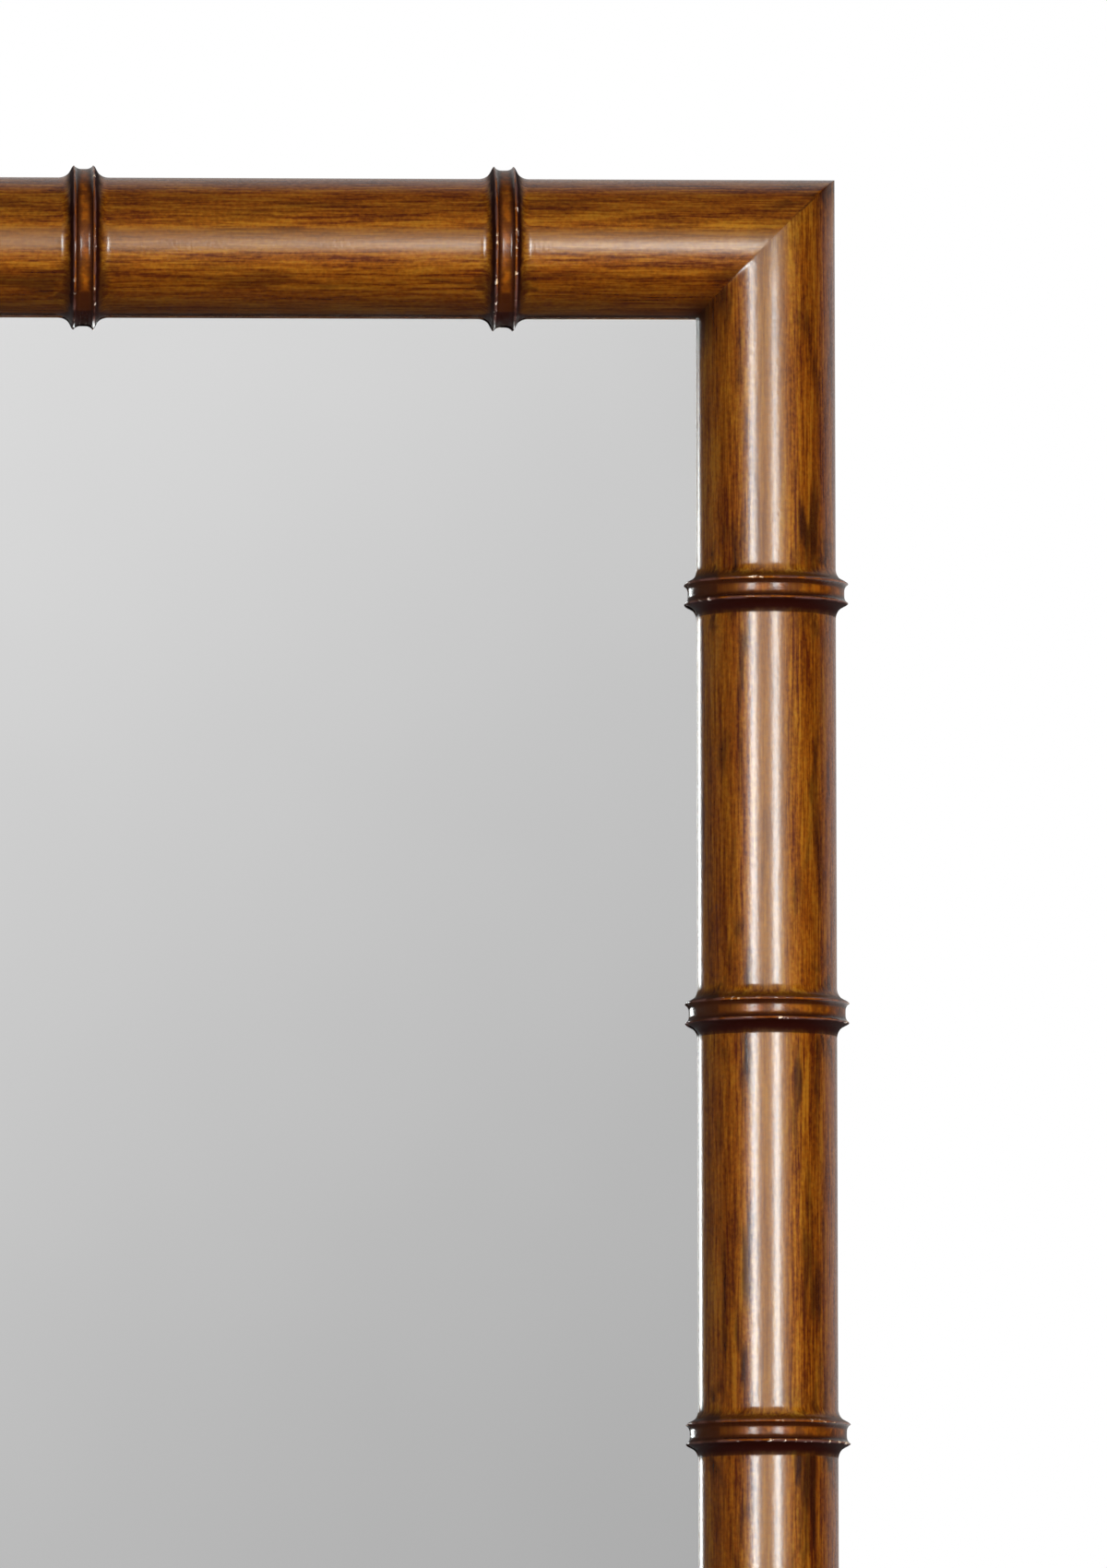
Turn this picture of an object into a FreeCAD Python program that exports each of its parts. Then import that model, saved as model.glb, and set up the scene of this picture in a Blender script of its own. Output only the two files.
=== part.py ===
"""Wall mirror in a bamboo-turned wooden frame, modelled as a parametric document.

Lengths are millimetres. X runs across the mirror, Z up, and Y from the front to the wall: the wall plane is
Y = 0 and the frame stands in front of it, towards -Y. Every rail is drawn lying along X with its outer edge
up, and its Placement turns it about Y into its side of the frame, so that four like rails make the frame.
"""

import FreeCAD, Part
import math
import os
import re
from collections import namedtuple

import Sketcher

SIZES = [
    ("outer_width", 610, "frame across its outer edges"),
    ("outer_height", 930, "frame from its lower to its upper outer edge"),
    ("rail_width", 44, "face width of a rail, and diameter of its half-round turning"),
    ("lip_thickness", 2, "wood left in front of the glass"),
    ("rebate_width", 8, "overlap of the lip on the glass"),
    ("back_round", 2, "rounding of the rail's outer rear edge"),
    ("glass_thickness", 4, "silvered float glass"),
    ("cushion_thickness", 2, "foam sheet behind the glass"),
    ("board_thickness", 6, "backing board, flush with the rails"),
    ("panel_clearance", 1.5, "play round the glass, cushion and board in the rebate"),
    ("top_ring_margin", 105.2, "outer corner to the first node ring on a top or bottom rail"),
    ("side_ring_margin", 132, "outer corner to the first node ring on a side rail"),
    ("crest_spacing", 6.2, "distance between the two crests of a node ring"),
    ("crest_rise", 4, "crest above the half-round"),
    ("crest_flat", 0.7, "width of a crest's top"),
    ("valley_rise", 2.8, "floor between the crests, above the half-round"),
    ("valley_width", 2.5, "width of that floor"),
    ("flare_length", 3.9, "crest to the foot of its hollow flare"),
    ("flare_knee", 1.9, "crest to the knee where the steep flank turns into the foot"),
    ("knee_rise", 1.2, "that knee above the half-round"),
    ("foot_sink", 0.2, "end of the foot below the half-round"),
    ("ring_root", 3, "depth of a node ring's root below the half-round"),
    ("mitre_overrun", 5, "overrun of the mitre cuts past the rail"),
    ("nail_leg", 7, "leg of a V-shaped mitre nail"),
    ("nail_sheet", 0.6, "sheet thickness of a mitre nail"),
    ("nail_height", 10, "height of a mitre nail"),
    ("nail_fit", 0.05, "play of a mitre nail in its slot"),
    ("outer_nail_inset", 12, "outer mitre nail from the rail's outer edge"),
    ("inner_nail_inset", 26, "inner mitre nail from the rail's outer edge"),
    ("screw_head_radius", 3.5, "flat cheese head of a pivot screw"),
    ("screw_head_height", 1.6, "height of that head"),
    ("screw_shank_radius", 1.6, "shank of a pivot screw"),
    ("screw_length", 13, "shank from under the head to its tip"),
    ("button_width", 11, "width of a turn button"),
    ("button_reach", 24, "pivot to the tip that holds the board"),
    ("button_tail", 7, "pivot to the other end"),
    ("button_sheet", 1.5, "sheet thickness of a turn button"),
    ("button_bevel", 3, "cut-off corners of a turn button"),
    ("button_gap", 0.3, "running gap under and over a turn button"),
    ("button_play", 0.3, "play of the pivot screw in its hole"),
    ("button_inset", 10, "pivot from the edge of the rebate"),
    ("side_button_offset", 180, "pivots of a side rail from its middle"),
    ("ring_sheet", 2, "thickness of a hanger ring, and depth of its bar"),
    ("ring_rim", 2, "width of the ring's rim"),
    ("ring_half_width", 10, "half the width of the ring"),
    ("ring_corner", 2.4, "outer radius at the ends of the bar"),
    ("ring_side", 4, "middle of the bar to the start of the ring's bow"),
    ("loop_play", 0.3, "play of the bar's corners in the strap's loop"),
    ("strap_sheet", 0.8, "sheet thickness of a hanger strap"),
    ("strap_width", 10, "width of a hanger strap"),
    ("strap_length", 34, "loop to the end of the strap"),
    ("strap_bevel", 3, "cut-off corners of the strap's end"),
    ("strap_screw_first", 8, "loop to the first strap screw"),
    ("strap_screw_spacing", 16, "first strap screw to the second"),
    ("strap_hole_radius", 2, "screw holes of a strap"),
    ("strap_offset", 300, "strap loops above the frame's middle"),
    ("bumper_radius", 6, "rubber bumper"),
    ("bumper_thickness", 6, "bumper, and so the rails' distance from the wall"),
    ("bumper_inset", 52, "bumpers from the outer corner, along the rail"),
]
NAMES = {name for name, _, _ in SIZES}

Side = namedtuple("Side", "name turn length across margin rings pivots upright")
ONE_PIVOT, TWO_PIVOTS = ["0"], ["-side_button_offset", "side_button_offset"]
SIDES = [
    Side("top", 0, "outer_width", "outer_height", "top_ring_margin", 4, ONE_PIVOT, False),
    Side("right", 90, "outer_height", "outer_width", "side_ring_margin", 6, TWO_PIVOTS, True),
    Side("bottom", 180, "outer_width", "outer_height", "top_ring_margin", 4, ONE_PIVOT, False),
    Side("left", 270, "outer_height", "outer_width", "side_ring_margin", 6, TWO_PIVOTS, True),
]

# Distances in front of the wall, as sums of the sheet's sizes.
BACK = "bumper_thickness"
PANEL_FRONT = "(bumper_thickness + board_thickness + cushion_thickness + glass_thickness)"
SPRING = f"({PANEL_FRONT} + lip_thickness)"
# Places across the rear of a rail, measured inwards from its outer edge.
REAR_WIDTH = "(rail_width - rebate_width)"
PIVOT_INSET = f"({REAR_WIDTH} - button_inset)"
# Centre of a ring's bar behind the rails' rear face.
EYE_RADIUS = "(sqrt(ring_sheet ^ 2 + ring_rim ^ 2) / 2 + loop_play)"
BAR_LIFT = f"(strap_sheet + {EYE_RADIUS})"
STRAP_SCREWS = ["strap_screw_first", "(strap_screw_first + strap_screw_spacing)"]


def cells(text):
    """The expression with each size's name turned into a reference to the sheet."""
    return re.sub(r"[a-z_]+", lambda m: "sizes." + m[0] if m[0] in NAMES else m[0], text)


def make_sheet(doc):
    """The spreadsheet of driving dimensions: name, value, meaning."""
    sheet = doc.addObject("Spreadsheet::Sheet", "sizes")
    for row, (name, value, meaning) in enumerate(SIZES, start=1):
        sheet.set(f"A{row}", name)
        sheet.set(f"B{row}", str(value))
        sheet.set(f"C{row}", meaning)
        sheet.setAlias(f"B{row}", name)
    doc.recompute()


def bind(thing, **expressions):
    """Binds the properties of an object to expressions in the sheet's sizes."""
    for name, text in expressions.items():
        thing.setExpression(name, cells(text))


def new_body(doc, name):
    """An empty body with its own label."""
    body = doc.addObject("PartDesign::Body", name)
    body.Label = name
    return body


def place(body, side, along="0", across="0", behind="0"):
    """Turns a body into its side of the frame and binds its place there.

    along runs along the rail from its middle, across from the middle of the frame outwards, and behind
    from the wall plane backwards, so that a piece in front of the wall has a negative one.
    """
    body.Placement = FreeCAD.Placement(
        FreeCAD.Vector(0, 0, 0), FreeCAD.Rotation(FreeCAD.Vector(0, 1, 0), side.turn)
    )
    x, z = {
        0: (along, across),
        90: (across, f"-({along})"),
        180: (f"-({along})", f"-({across})"),
        270: (f"-({across})", along),
    }[side.turn]
    body.setExpression("Placement.Base.x", cells(x))
    body.setExpression("Placement.Base.y", cells(behind))
    body.setExpression("Placement.Base.z", cells(z))


def new_sketch(body, name, role, offset="0"):
    """A sketch on one of the body's origin planes, moved along that plane's normal."""
    sketch = body.newObject("Sketcher::SketchObject", f"{body.Name}_{name}")
    plane = next(p for p in body.Origin.OriginFeatures if p.Role == role)
    sketch.AttachmentSupport = [(plane, "")]
    sketch.MapMode = "FlatFace"
    sketch.setExpression("AttachmentOffset.Base.z", cells(offset))
    return sketch


def value_of(sketch, text):
    """An expression's value in millimetres."""
    return float(sketch.evalExpression(cells(text)))


def bind_point(sketch, geometry, point, x, y):
    """Ties a point of the sketch to two expressions."""
    for kind, text in (("DistanceX", x), ("DistanceY", y)):
        start = value_of(sketch, text)
        index = sketch.addConstraint(Sketcher.Constraint(kind, -1, 1, geometry, point, start))
        sketch.setExpression(f"Constraints[{index}]", cells(text))


def curved(start, end, radius):
    """An arc from start to end, bulging to the left of that direction when the radius is above zero.

    A sketch keeps its arcs anticlockwise, so the numbers of the arc's first and last point come with it.
    """
    chord = end - start
    size = abs(radius)
    sagitta = size - math.sqrt(size**2 - (chord.Length / 2) ** 2)
    normal = FreeCAD.Vector(-chord.y, chord.x, 0).normalize() * math.copysign(1, radius)
    centre = start + chord / 2 + normal * (sagitta - size)
    first, last = (end, start) if radius > 0 else (start, end)
    turns = [math.atan2(point.y - centre.y, point.x - centre.x) for point in (first, last)]
    arc = Part.ArcOfCircle(Part.Circle(centre, FreeCAD.Vector(0, 0, 1), size), *turns)
    return arc, (2, 1) if radius > 0 else (1, 2)


def outline(sketch, corners, arcs=None):
    """A closed outline through corners given as pairs of expressions.

    arcs maps the number of a corner to the radius of the arc that leaves it, with a sign for its side.
    """
    arcs = arcs or {}
    points = [FreeCAD.Vector(value_of(sketch, x), value_of(sketch, y), 0) for x, y in corners]
    first = sketch.GeometryCount
    count = len(points)
    starts = {}
    for k, start in enumerate(points):
        end = points[(k + 1) % count]
        if k in arcs:
            radius = arcs[k].lstrip("-")
            size = value_of(sketch, radius)
            arc, starts[k] = curved(start, end, -size if arcs[k].startswith("-") else size)
            sketch.addGeometry(arc, False)
            index = sketch.addConstraint(Sketcher.Constraint("Radius", first + k, size))
            sketch.setExpression(f"Constraints[{index}]", cells(radius))
        else:
            sketch.addGeometry(Part.LineSegment(start, end), False)
            starts[k] = (1, 2)
    for k in range(count):
        after = (k + 1) % count
        sketch.addConstraint(
            Sketcher.Constraint("Coincident", first + k, starts[k][1], first + after, starts[after][0])
        )
    for k, (x, y) in enumerate(corners):
        bind_point(sketch, first + k, starts[k][0], x, y)


def disc(sketch, x, y, radius):
    """A circle whose centre and radius are expressions."""
    centre = FreeCAD.Vector(value_of(sketch, x), value_of(sketch, y), 0)
    size = value_of(sketch, radius)
    number = sketch.addGeometry(Part.Circle(centre, FreeCAD.Vector(0, 0, 1), size), False)
    bind_point(sketch, number, 3, x, y)
    index = sketch.addConstraint(Sketcher.Constraint("Radius", number, size))
    sketch.setExpression(f"Constraints[{index}]", cells(radius))


def feature(body, kind, name, sketch, **settings):
    """A sketch-based feature, made the body's tip."""
    made = body.newObject(f"PartDesign::{kind}", f"{body.Name}_{name}")
    made.Profile = sketch
    for key, value in settings.items():
        setattr(made, key, value)
    body.Tip = made
    return made


def pad(body, name, sketch, length, **settings):
    """A pad whose length is an expression."""
    made = feature(body, "Pad", name, sketch, **settings)
    bind(made, Length=length)
    return made


def pocket(body, name, sketch, length, **settings):
    """A pocket whose depth is an expression."""
    made = feature(body, "Pocket", name, sketch, **settings)
    bind(made, Length=length)
    return made


def half_turn(body, name, sketch):
    """Half a turn about the rail's axis, from its outer edge over the front to its inner edge."""
    made = feature(body, "Revolution", name, sketch, Angle=180, Midplane=True)
    made.ReferenceAxis = (sketch, ["H_Axis"])
    return made


def cut_mitres(body, side):
    """Cuts both ends of a rail along the lines from its outer to its inner corners."""
    sketch = new_sketch(body, "mitre_lines", "XZ_Plane")
    end, edge = f"({side.length} / 2 + mitre_overrun)", f"({side.across} / 2 + mitre_overrun)"
    inner_end = f"({side.length} / 2 - rail_width - mitre_overrun)"
    inner_edge = f"({side.across} / 2 - rail_width - mitre_overrun)"
    outline(sketch, [(end, edge), (end, inner_edge), (inner_end, inner_edge)])
    outline(
        sketch,
        [(f"-{end}", edge), (f"-{end}", inner_edge), (f"-{inner_end}", inner_edge)],
    )
    feature(body, "Pocket", "mitres", sketch, Type="ThroughAll", SideType="Symmetric")


def turning(doc, side):
    """A half-round turned rail with its double-crested node rings, mitred at both ends.

    It is turned in its own frame, where the X axis is the axis of the turning, and its Placement then
    carries that axis to the rail's middle line.
    """
    body = new_body(doc, f"{side.name}_turning")
    round_profile = new_sketch(body, "round_profile", "XY_Plane")
    end = f"({side.length} / 2)"
    outline(
        round_profile,
        [(f"-{end}", "0"), (end, "0"), (end, "-rail_width / 2"), (f"-{end}", "-rail_width / 2")],
    )
    half_turn(body, "round", round_profile)
    ring_profile = new_sketch(body, "ring_profile", "XY_Plane")
    ring_outline(ring_profile, f"({side.margin} - {side.length} / 2)")
    ring = half_turn(body, "ring", ring_profile)
    row = body.newObject("PartDesign::LinearPattern", f"{body.Name}_ring_row")
    row.Originals = [ring]
    axis = next(p for p in body.Origin.OriginFeatures if p.Role == "X_Axis")
    row.Direction = (axis, [""])
    row.Occurrences = side.rings
    bind(row, Length=f"{side.length} - 2 * {side.margin}")
    body.Tip = row
    sketch = new_sketch(body, "mitre_lines", "XZ_Plane")
    half, reach = "(rail_width / 2)", "(rail_width / 2 + crest_rise + mitre_overrun)"
    far = f"({end} + mitre_overrun + rail_width)"
    for sign in ("", "-"):
        outline(
            sketch,
            [
                (f"{sign}({end} - {half} + {reach})", reach),
                (f"{sign}{far}", reach),
                (f"{sign}{far}", f"-{reach}"),
                (f"{sign}({end} - {half} - {reach})", f"-{reach}"),
            ],
        )
    feature(body, "Pocket", "mitres", sketch, Type="ThroughAll", SideType="Symmetric")
    place(body, side, across=f"{side.across} / 2 - rail_width / 2", behind=f"-{SPRING}")
    return body


def ring_outline(sketch, centre):
    """The section of a node ring: two crests, the floor between them, and a hollow flare on each side."""
    root = "(rail_width / 2 - ring_root)"
    rail = "rail_width / 2"
    half = [
        ("valley_width / 2", f"({rail} + valley_rise)"),
        ("(crest_spacing - crest_flat) / 2", f"({rail} + crest_rise)"),
        ("(crest_spacing + crest_flat) / 2", f"({rail} + crest_rise)"),
        ("(crest_spacing / 2 + flare_knee)", f"({rail} + knee_rise)"),
        ("(crest_spacing / 2 + flare_length)", f"({rail} - foot_sink)"),
        ("(crest_spacing / 2 + flare_length)", root),
    ]
    left = [(f"{centre} - {x}", f"-{r}") for x, r in reversed(half)]
    right = [(f"{centre} + {x}", f"-{r}") for x, r in half]
    outline(sketch, left + right)


def cut_nail_slots(body, side):
    """Cuts the mitre nails' slots into the rear of a rail."""
    slots = new_sketch(body, "slot_lines", "XZ_Plane", BACK)
    for sign in ("", "-"):
        for inset in ("outer_nail_inset", "inner_nail_inset"):
            outline(slots, nail_corners(side, inset, sign, "nail_fit"))
    pocket(body, "slots", slots, "nail_height + nail_fit", Reversed=True)


def backer(doc, side):
    """A flat rebated rail that carries the turning in front and the glass in its rebate."""
    body = new_body(doc, f"{side.name}_rail")
    outer = f"({side.across} / 2)"
    inner = f"({side.across} / 2 - rail_width)"
    wall = f"({side.across} / 2 - {REAR_WIDTH})"
    section = new_sketch(body, "section", "YZ_Plane")
    outline(
        section,
        [
            (f"-{BACK}", f"({outer} - back_round)"),
            (f"-({BACK} + back_round)", outer),
            (f"-{SPRING}", outer),
            (f"-{SPRING}", inner),
            (f"-{PANEL_FRONT}", inner),
            (f"-{PANEL_FRONT}", wall),
            (f"-{BACK}", wall),
        ],
        {0: "-back_round"},
    )
    pad(body, "length", section, side.length, SideType="Symmetric")
    cut_mitres(body, side)
    cut_nail_slots(body, side)
    place(body, side)
    return body


def panel(doc, name, thickness, front):
    """A sheet that fills the rebate: the glass, the cushion behind it or the backing board."""
    body = new_body(doc, name)
    sketch = new_sketch(body, "outline", "XZ_Plane", front)
    rim = f"({REAR_WIDTH} + panel_clearance)"
    x, z = f"(outer_width / 2 - {rim})", f"(outer_height / 2 - {rim})"
    outline(sketch, [(x, z), (x, f"-{z}"), (f"-{x}", f"-{z}"), (f"-{x}", z)])
    pad(body, "sheet", sketch, thickness, Reversed=True)
    return body


def nail_corners(side, inset, sign, play):
    """Corners of a V-shaped nail whose point lies on the mitre and whose legs run along both rails."""
    steps = [
        ("-play", "-play"),
        ("(nail_leg + play)", "-play"),
        ("(nail_leg + play)", "(nail_sheet + play)"),
        ("(nail_sheet + play)", "(nail_sheet + play)"),
        ("(nail_sheet + play)", "(nail_leg + play)"),
        ("-play", "(nail_leg + play)"),
    ]
    corners = []
    for along, across in steps:
        x = f"({side.length} / 2 - {inset} + {along})".replace("play", play)
        z = f"({side.across} / 2 - {inset} + {across})".replace("play", play)
        corners.append((f"{sign}{x}", z))
    return corners


def mitre_nail(doc, side, inset):
    """One V-shaped nail, driven flush into the rear of a mitre."""
    body = new_body(doc, f"{side.name}_{inset.replace('_inset', '')}")
    sketch = new_sketch(body, "outline", "XZ_Plane", BACK)
    outline(sketch, nail_corners(side, inset, "", "0"))
    pad(body, "sheet", sketch, "nail_height")
    place(body, side)
    return body


def pivot_screw(doc, name, side, along):
    """The screw that a turn button turns on: the origin is under its head, the shank points forwards."""
    body = new_body(doc, name)
    sketch = new_sketch(body, "half", "XY_Plane")
    outline(
        sketch,
        [
            ("0", "screw_head_height"),
            ("screw_head_radius", "screw_head_height"),
            ("screw_head_radius", "0"),
            ("screw_shank_radius", "0"),
            ("screw_shank_radius", "-screw_length"),
            ("0", "-screw_length"),
        ],
    )
    made = feature(body, "Revolution", "turned", sketch, Angle=360)
    made.ReferenceAxis = (sketch, ["V_Axis"])
    seat = f"-({BACK}) + button_sheet + 2 * button_gap"
    place(body, side, along, f"({side.across} / 2 - {PIVOT_INSET})", seat)
    return body


def group(doc, name, bodies):
    """Like pieces kept as separate solids under one name."""
    made = doc.addObject("Part::Compound", name)
    made.Label = name
    made.Links = bodies
    return made


def turn_button(doc, name, side, along):
    """A bevelled steel strip that turns on its screw and holds the backing board in."""
    body = new_body(doc, name)
    sketch = new_sketch(body, "outline", "XZ_Plane", "-button_gap")
    x, tip, tail = "(button_width / 2)", "button_reach", "button_tail"
    beside = f"({x} - button_bevel)"
    outline(
        sketch,
        [
            (beside, tail),
            (x, f"({tail} - button_bevel)"),
            (x, f"-({tip} - button_bevel)"),
            (beside, f"-{tip}"),
            (f"-{beside}", f"-{tip}"),
            (f"-{x}", f"-({tip} - button_bevel)"),
            (f"-{x}", f"({tail} - button_bevel)"),
            (f"-{beside}", tail),
        ],
    )
    disc(sketch, "0", "0", "(screw_shank_radius + button_play)")
    pad(body, "sheet", sketch, "button_sheet", Reversed=True)
    place(body, side, along, f"({side.across} / 2 - {PIVOT_INSET})", f"-{BACK}")
    return body


def hanger_strap(doc, name, side):
    """A strap screwed to the rail, with the loop at its upper end that carries the ring's bar."""
    body = new_body(doc, name)
    loop = new_sketch(body, "loop", "YZ_Plane")
    disc(loop, BAR_LIFT, "0", f"({BAR_LIFT})")
    pad(body, "roll", loop, "strap_width", SideType="Symmetric")
    tongue = new_sketch(body, "tongue", "XZ_Plane")
    x, foot = "(strap_width / 2)", "strap_length"
    outline(
        tongue,
        [
            (x, "0"),
            (x, f"-({foot} - strap_bevel)"),
            (f"({x} - strap_bevel)", f"-{foot}"),
            (f"-({x} - strap_bevel)", f"-{foot}"),
            (f"-{x}", f"-({foot} - strap_bevel)"),
            (f"-{x}", "0"),
        ],
    )
    pad(body, "plate", tongue, "2 * strap_sheet", Reversed=True)
    eye = new_sketch(body, "eye", "YZ_Plane")
    disc(eye, BAR_LIFT, "0", EYE_RADIUS)
    feature(body, "Pocket", "bore", eye, Type="ThroughAll", SideType="Symmetric")
    holes = new_sketch(body, "holes", "XZ_Plane")
    for drop in STRAP_SCREWS:
        disc(holes, "0", f"-{drop}", "strap_hole_radius")
    feature(body, "Pocket", "screw_holes", holes, Type="ThroughAll", SideType="Symmetric")
    hang(body, side)
    return body


def hang(body, side):
    """Places a hanger piece, drawn upright about the loop, on the rear of a side rail."""
    outward = f"({side.across} / 2 - {REAR_WIDTH} / 2)"
    sign = "" if side.name == "right" else "-"
    body.setExpression("Placement.Base.x", cells(f"{sign}{outward}"))
    body.setExpression("Placement.Base.y", cells(f"-{BACK}"))
    body.setExpression("Placement.Base.z", cells("strap_offset"))


def hanger_ring(doc, name, side):
    """A stamped ring: a straight bar in the strap's loop, two sides and a bow over the top."""
    body = new_body(doc, name)
    sketch = new_sketch(body, "rim", "XZ_Plane", f"-({BAR_LIFT} - ring_sheet / 2)")
    ring_edge(sketch, "ring_half_width", "ring_rim / 2", "ring_corner")
    ring_edge(sketch, "(ring_half_width - ring_rim)", "-ring_rim / 2", "(ring_corner - ring_rim)")
    pad(body, "sheet", sketch, "ring_sheet", Reversed=True)
    hang(body, side)
    return body


def ring_edge(sketch, half_width, drop, corner):
    """The outer or inner edge of a hanger ring, from the ends of its bar up to its bow."""
    outline(
        sketch,
        [
            (f"-({half_width} - {corner})", f"-{drop}"),
            (f"({half_width} - {corner})", f"-{drop}"),
            (half_width, f"({corner} - {drop})"),
            (half_width, "ring_side"),
            ("0", f"(ring_side + {half_width})"),
            (f"-{half_width}", "ring_side"),
            (f"-{half_width}", f"({corner} - {drop})"),
        ],
        {1: f"-{corner}", 3: f"-{half_width}", 4: f"-{half_width}", 6: f"-{corner}"},
    )


def bumper(doc, name, side, sign):
    """A round rubber bumper between the rail and the wall."""
    body = new_body(doc, name)
    sketch = new_sketch(body, "circle", "XZ_Plane")
    disc(sketch, "0", "0", "bumper_radius")
    pad(body, "disc", sketch, "bumper_thickness", Reversed=True)
    along = f"{sign}({side.length} / 2 - bumper_inset)"
    place(body, side, along, f"({side.across} / 2 - {REAR_WIDTH} / 2)", f"-{BACK}")
    return body


def build_frame(doc):
    """The four rebated rails, their turnings and the nails in their mitres."""
    rails = [backer(doc, side) for side in SIDES] + [turning(doc, side) for side in SIDES]
    nails = [
        mitre_nail(doc, side, inset)
        for side in SIDES
        for inset in ("outer_nail_inset", "inner_nail_inset")
    ]
    return rails + [group(doc, "mitre_nails", nails)]


def build_panels(doc):
    """The glass, the cushion and the board, from the lip backwards."""
    return [
        panel(doc, "mirror_glass", "glass_thickness", PANEL_FRONT),
        panel(doc, "cushion_sheet", "cushion_thickness", f"{BACK} + board_thickness + cushion_thickness"),
        panel(doc, "backing_board", "board_thickness", f"{BACK} + board_thickness"),
    ]


def build_turn_buttons(doc):
    """The turn buttons on each rail and the screws that they turn on."""
    buttons, screws = [], []
    for side in SIDES:
        for number, along in enumerate(side.pivots, start=1):
            name = f"{side.name}_turn_button" + (f"_{number}" if len(side.pivots) > 1 else "")
            buttons.append(turn_button(doc, name, side, along))
            screws.append(pivot_screw(doc, f"{name}_screw", side, along))
    return buttons + [group(doc, "turn_button_screws", screws)]


def build_hangers(doc):
    """A strap and its ring on the rear of each side rail."""
    pieces = []
    for side in (side for side in SIDES if side.upright):
        pieces.append(hanger_strap(doc, f"{side.name}_hanger_strap", side))
        pieces.append(hanger_ring(doc, f"{side.name}_hanger_ring", side))
    return pieces


def build_bumpers(doc):
    """Four bumpers, near the ends of the top and bottom rails."""
    bumpers = []
    for side in (side for side in SIDES if not side.upright):
        for number, sign in enumerate(("-", ""), start=1):
            bumpers.append(bumper(doc, f"{side.name}_bumper_{number}", side, sign))
    return [group(doc, "wall_bumpers", bumpers)]


def check(doc, pieces):
    """Stops if any feature failed or a piece isn't a valid solid."""
    for thing in doc.Objects:
        if any(word in thing.State for word in ("Invalid", "Error")):
            raise RuntimeError(f"{thing.Name} failed: {thing.State}")
    for piece in pieces:
        if piece.Shape.isNull() or not piece.Shape.isValid() or not piece.Shape.Solids:
            raise RuntimeError(f"{piece.Label} isn't a valid solid")


def main():
    """Builds the mirror and writes one file for each piece."""
    doc = FreeCAD.newDocument("wall_mirror")
    make_sheet(doc)
    pieces = build_frame(doc) + build_panels(doc)
    pieces += build_turn_buttons(doc) + build_hangers(doc) + build_bumpers(doc)
    doc.recompute()
    check(doc, pieces)
    os.makedirs("parts", exist_ok=True)
    for piece in pieces:
        piece.Shape.exportStep(f"parts/{piece.Label}.step")
        solids = piece.Shape.Solids
        box = piece.Shape.BoundBox
        print(
            f"{piece.Label}: {len(solids)} solid(s), {piece.Shape.Volume:.0f} mm3, "
            f"x {box.XMin:.1f}..{box.XMax:.1f}, y {box.YMin:.1f}..{box.YMax:.1f}, "
            f"z {box.ZMin:.1f}..{box.ZMax:.1f}"
        )


main()
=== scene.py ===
"""Wall mirror in a lacquered wooden frame that is turned to look like bamboo.

Laid out as an add-on and run as a script. The packed CAD model is the fixed frame; this file gives
it smooth half-round turnings with their node rings, its finishes, its hardware and a studio.
Lengths are in metres: X to the right, Z up, the wall in the plane Y = 0 and the room towards -Y.
"""

import math
from functools import partial

import bmesh
import bpy
from bpy.props import FloatProperty, FloatVectorProperty, IntProperty, PointerProperty
from mathutils import Matrix, Vector


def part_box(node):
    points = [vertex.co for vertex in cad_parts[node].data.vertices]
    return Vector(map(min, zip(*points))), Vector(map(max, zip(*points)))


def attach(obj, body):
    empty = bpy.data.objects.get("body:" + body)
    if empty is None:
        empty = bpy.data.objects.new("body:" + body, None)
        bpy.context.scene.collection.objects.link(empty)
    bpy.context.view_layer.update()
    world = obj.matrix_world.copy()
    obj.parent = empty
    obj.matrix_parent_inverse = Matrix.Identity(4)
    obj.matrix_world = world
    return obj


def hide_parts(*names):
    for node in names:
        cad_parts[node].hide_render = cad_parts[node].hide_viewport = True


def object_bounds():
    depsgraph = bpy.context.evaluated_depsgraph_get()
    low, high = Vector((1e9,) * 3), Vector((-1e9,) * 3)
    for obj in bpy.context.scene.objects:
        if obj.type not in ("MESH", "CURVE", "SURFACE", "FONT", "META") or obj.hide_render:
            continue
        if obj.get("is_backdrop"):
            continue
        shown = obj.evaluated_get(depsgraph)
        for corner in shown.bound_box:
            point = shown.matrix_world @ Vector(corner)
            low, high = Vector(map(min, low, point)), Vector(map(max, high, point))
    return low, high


bl_info = {
    "name": "Bamboo-turned wall mirror",
    "version": (1, 0, 0),
    "blender": (4, 5, 0),
    "location": "3D View > Sidebar > Mirror",
    "description": "Makes the turnings, finishes, hardware and studio of a wall mirror",
    "category": "Object",
}

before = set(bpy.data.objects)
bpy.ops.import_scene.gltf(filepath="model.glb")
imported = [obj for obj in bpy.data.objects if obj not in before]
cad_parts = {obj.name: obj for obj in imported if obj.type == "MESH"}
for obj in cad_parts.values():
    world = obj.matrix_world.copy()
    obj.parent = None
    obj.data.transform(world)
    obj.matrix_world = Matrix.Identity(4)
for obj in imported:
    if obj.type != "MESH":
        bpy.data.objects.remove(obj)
CAD_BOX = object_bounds()

MM = 0.001
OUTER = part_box("top_rail")[1].x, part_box("top_rail")[1].z
RAIL_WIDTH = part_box("right_rail")[1].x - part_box("right_rail")[0].x
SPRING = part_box("top_rail")[0].y
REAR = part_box("top_rail")[1].y
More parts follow.
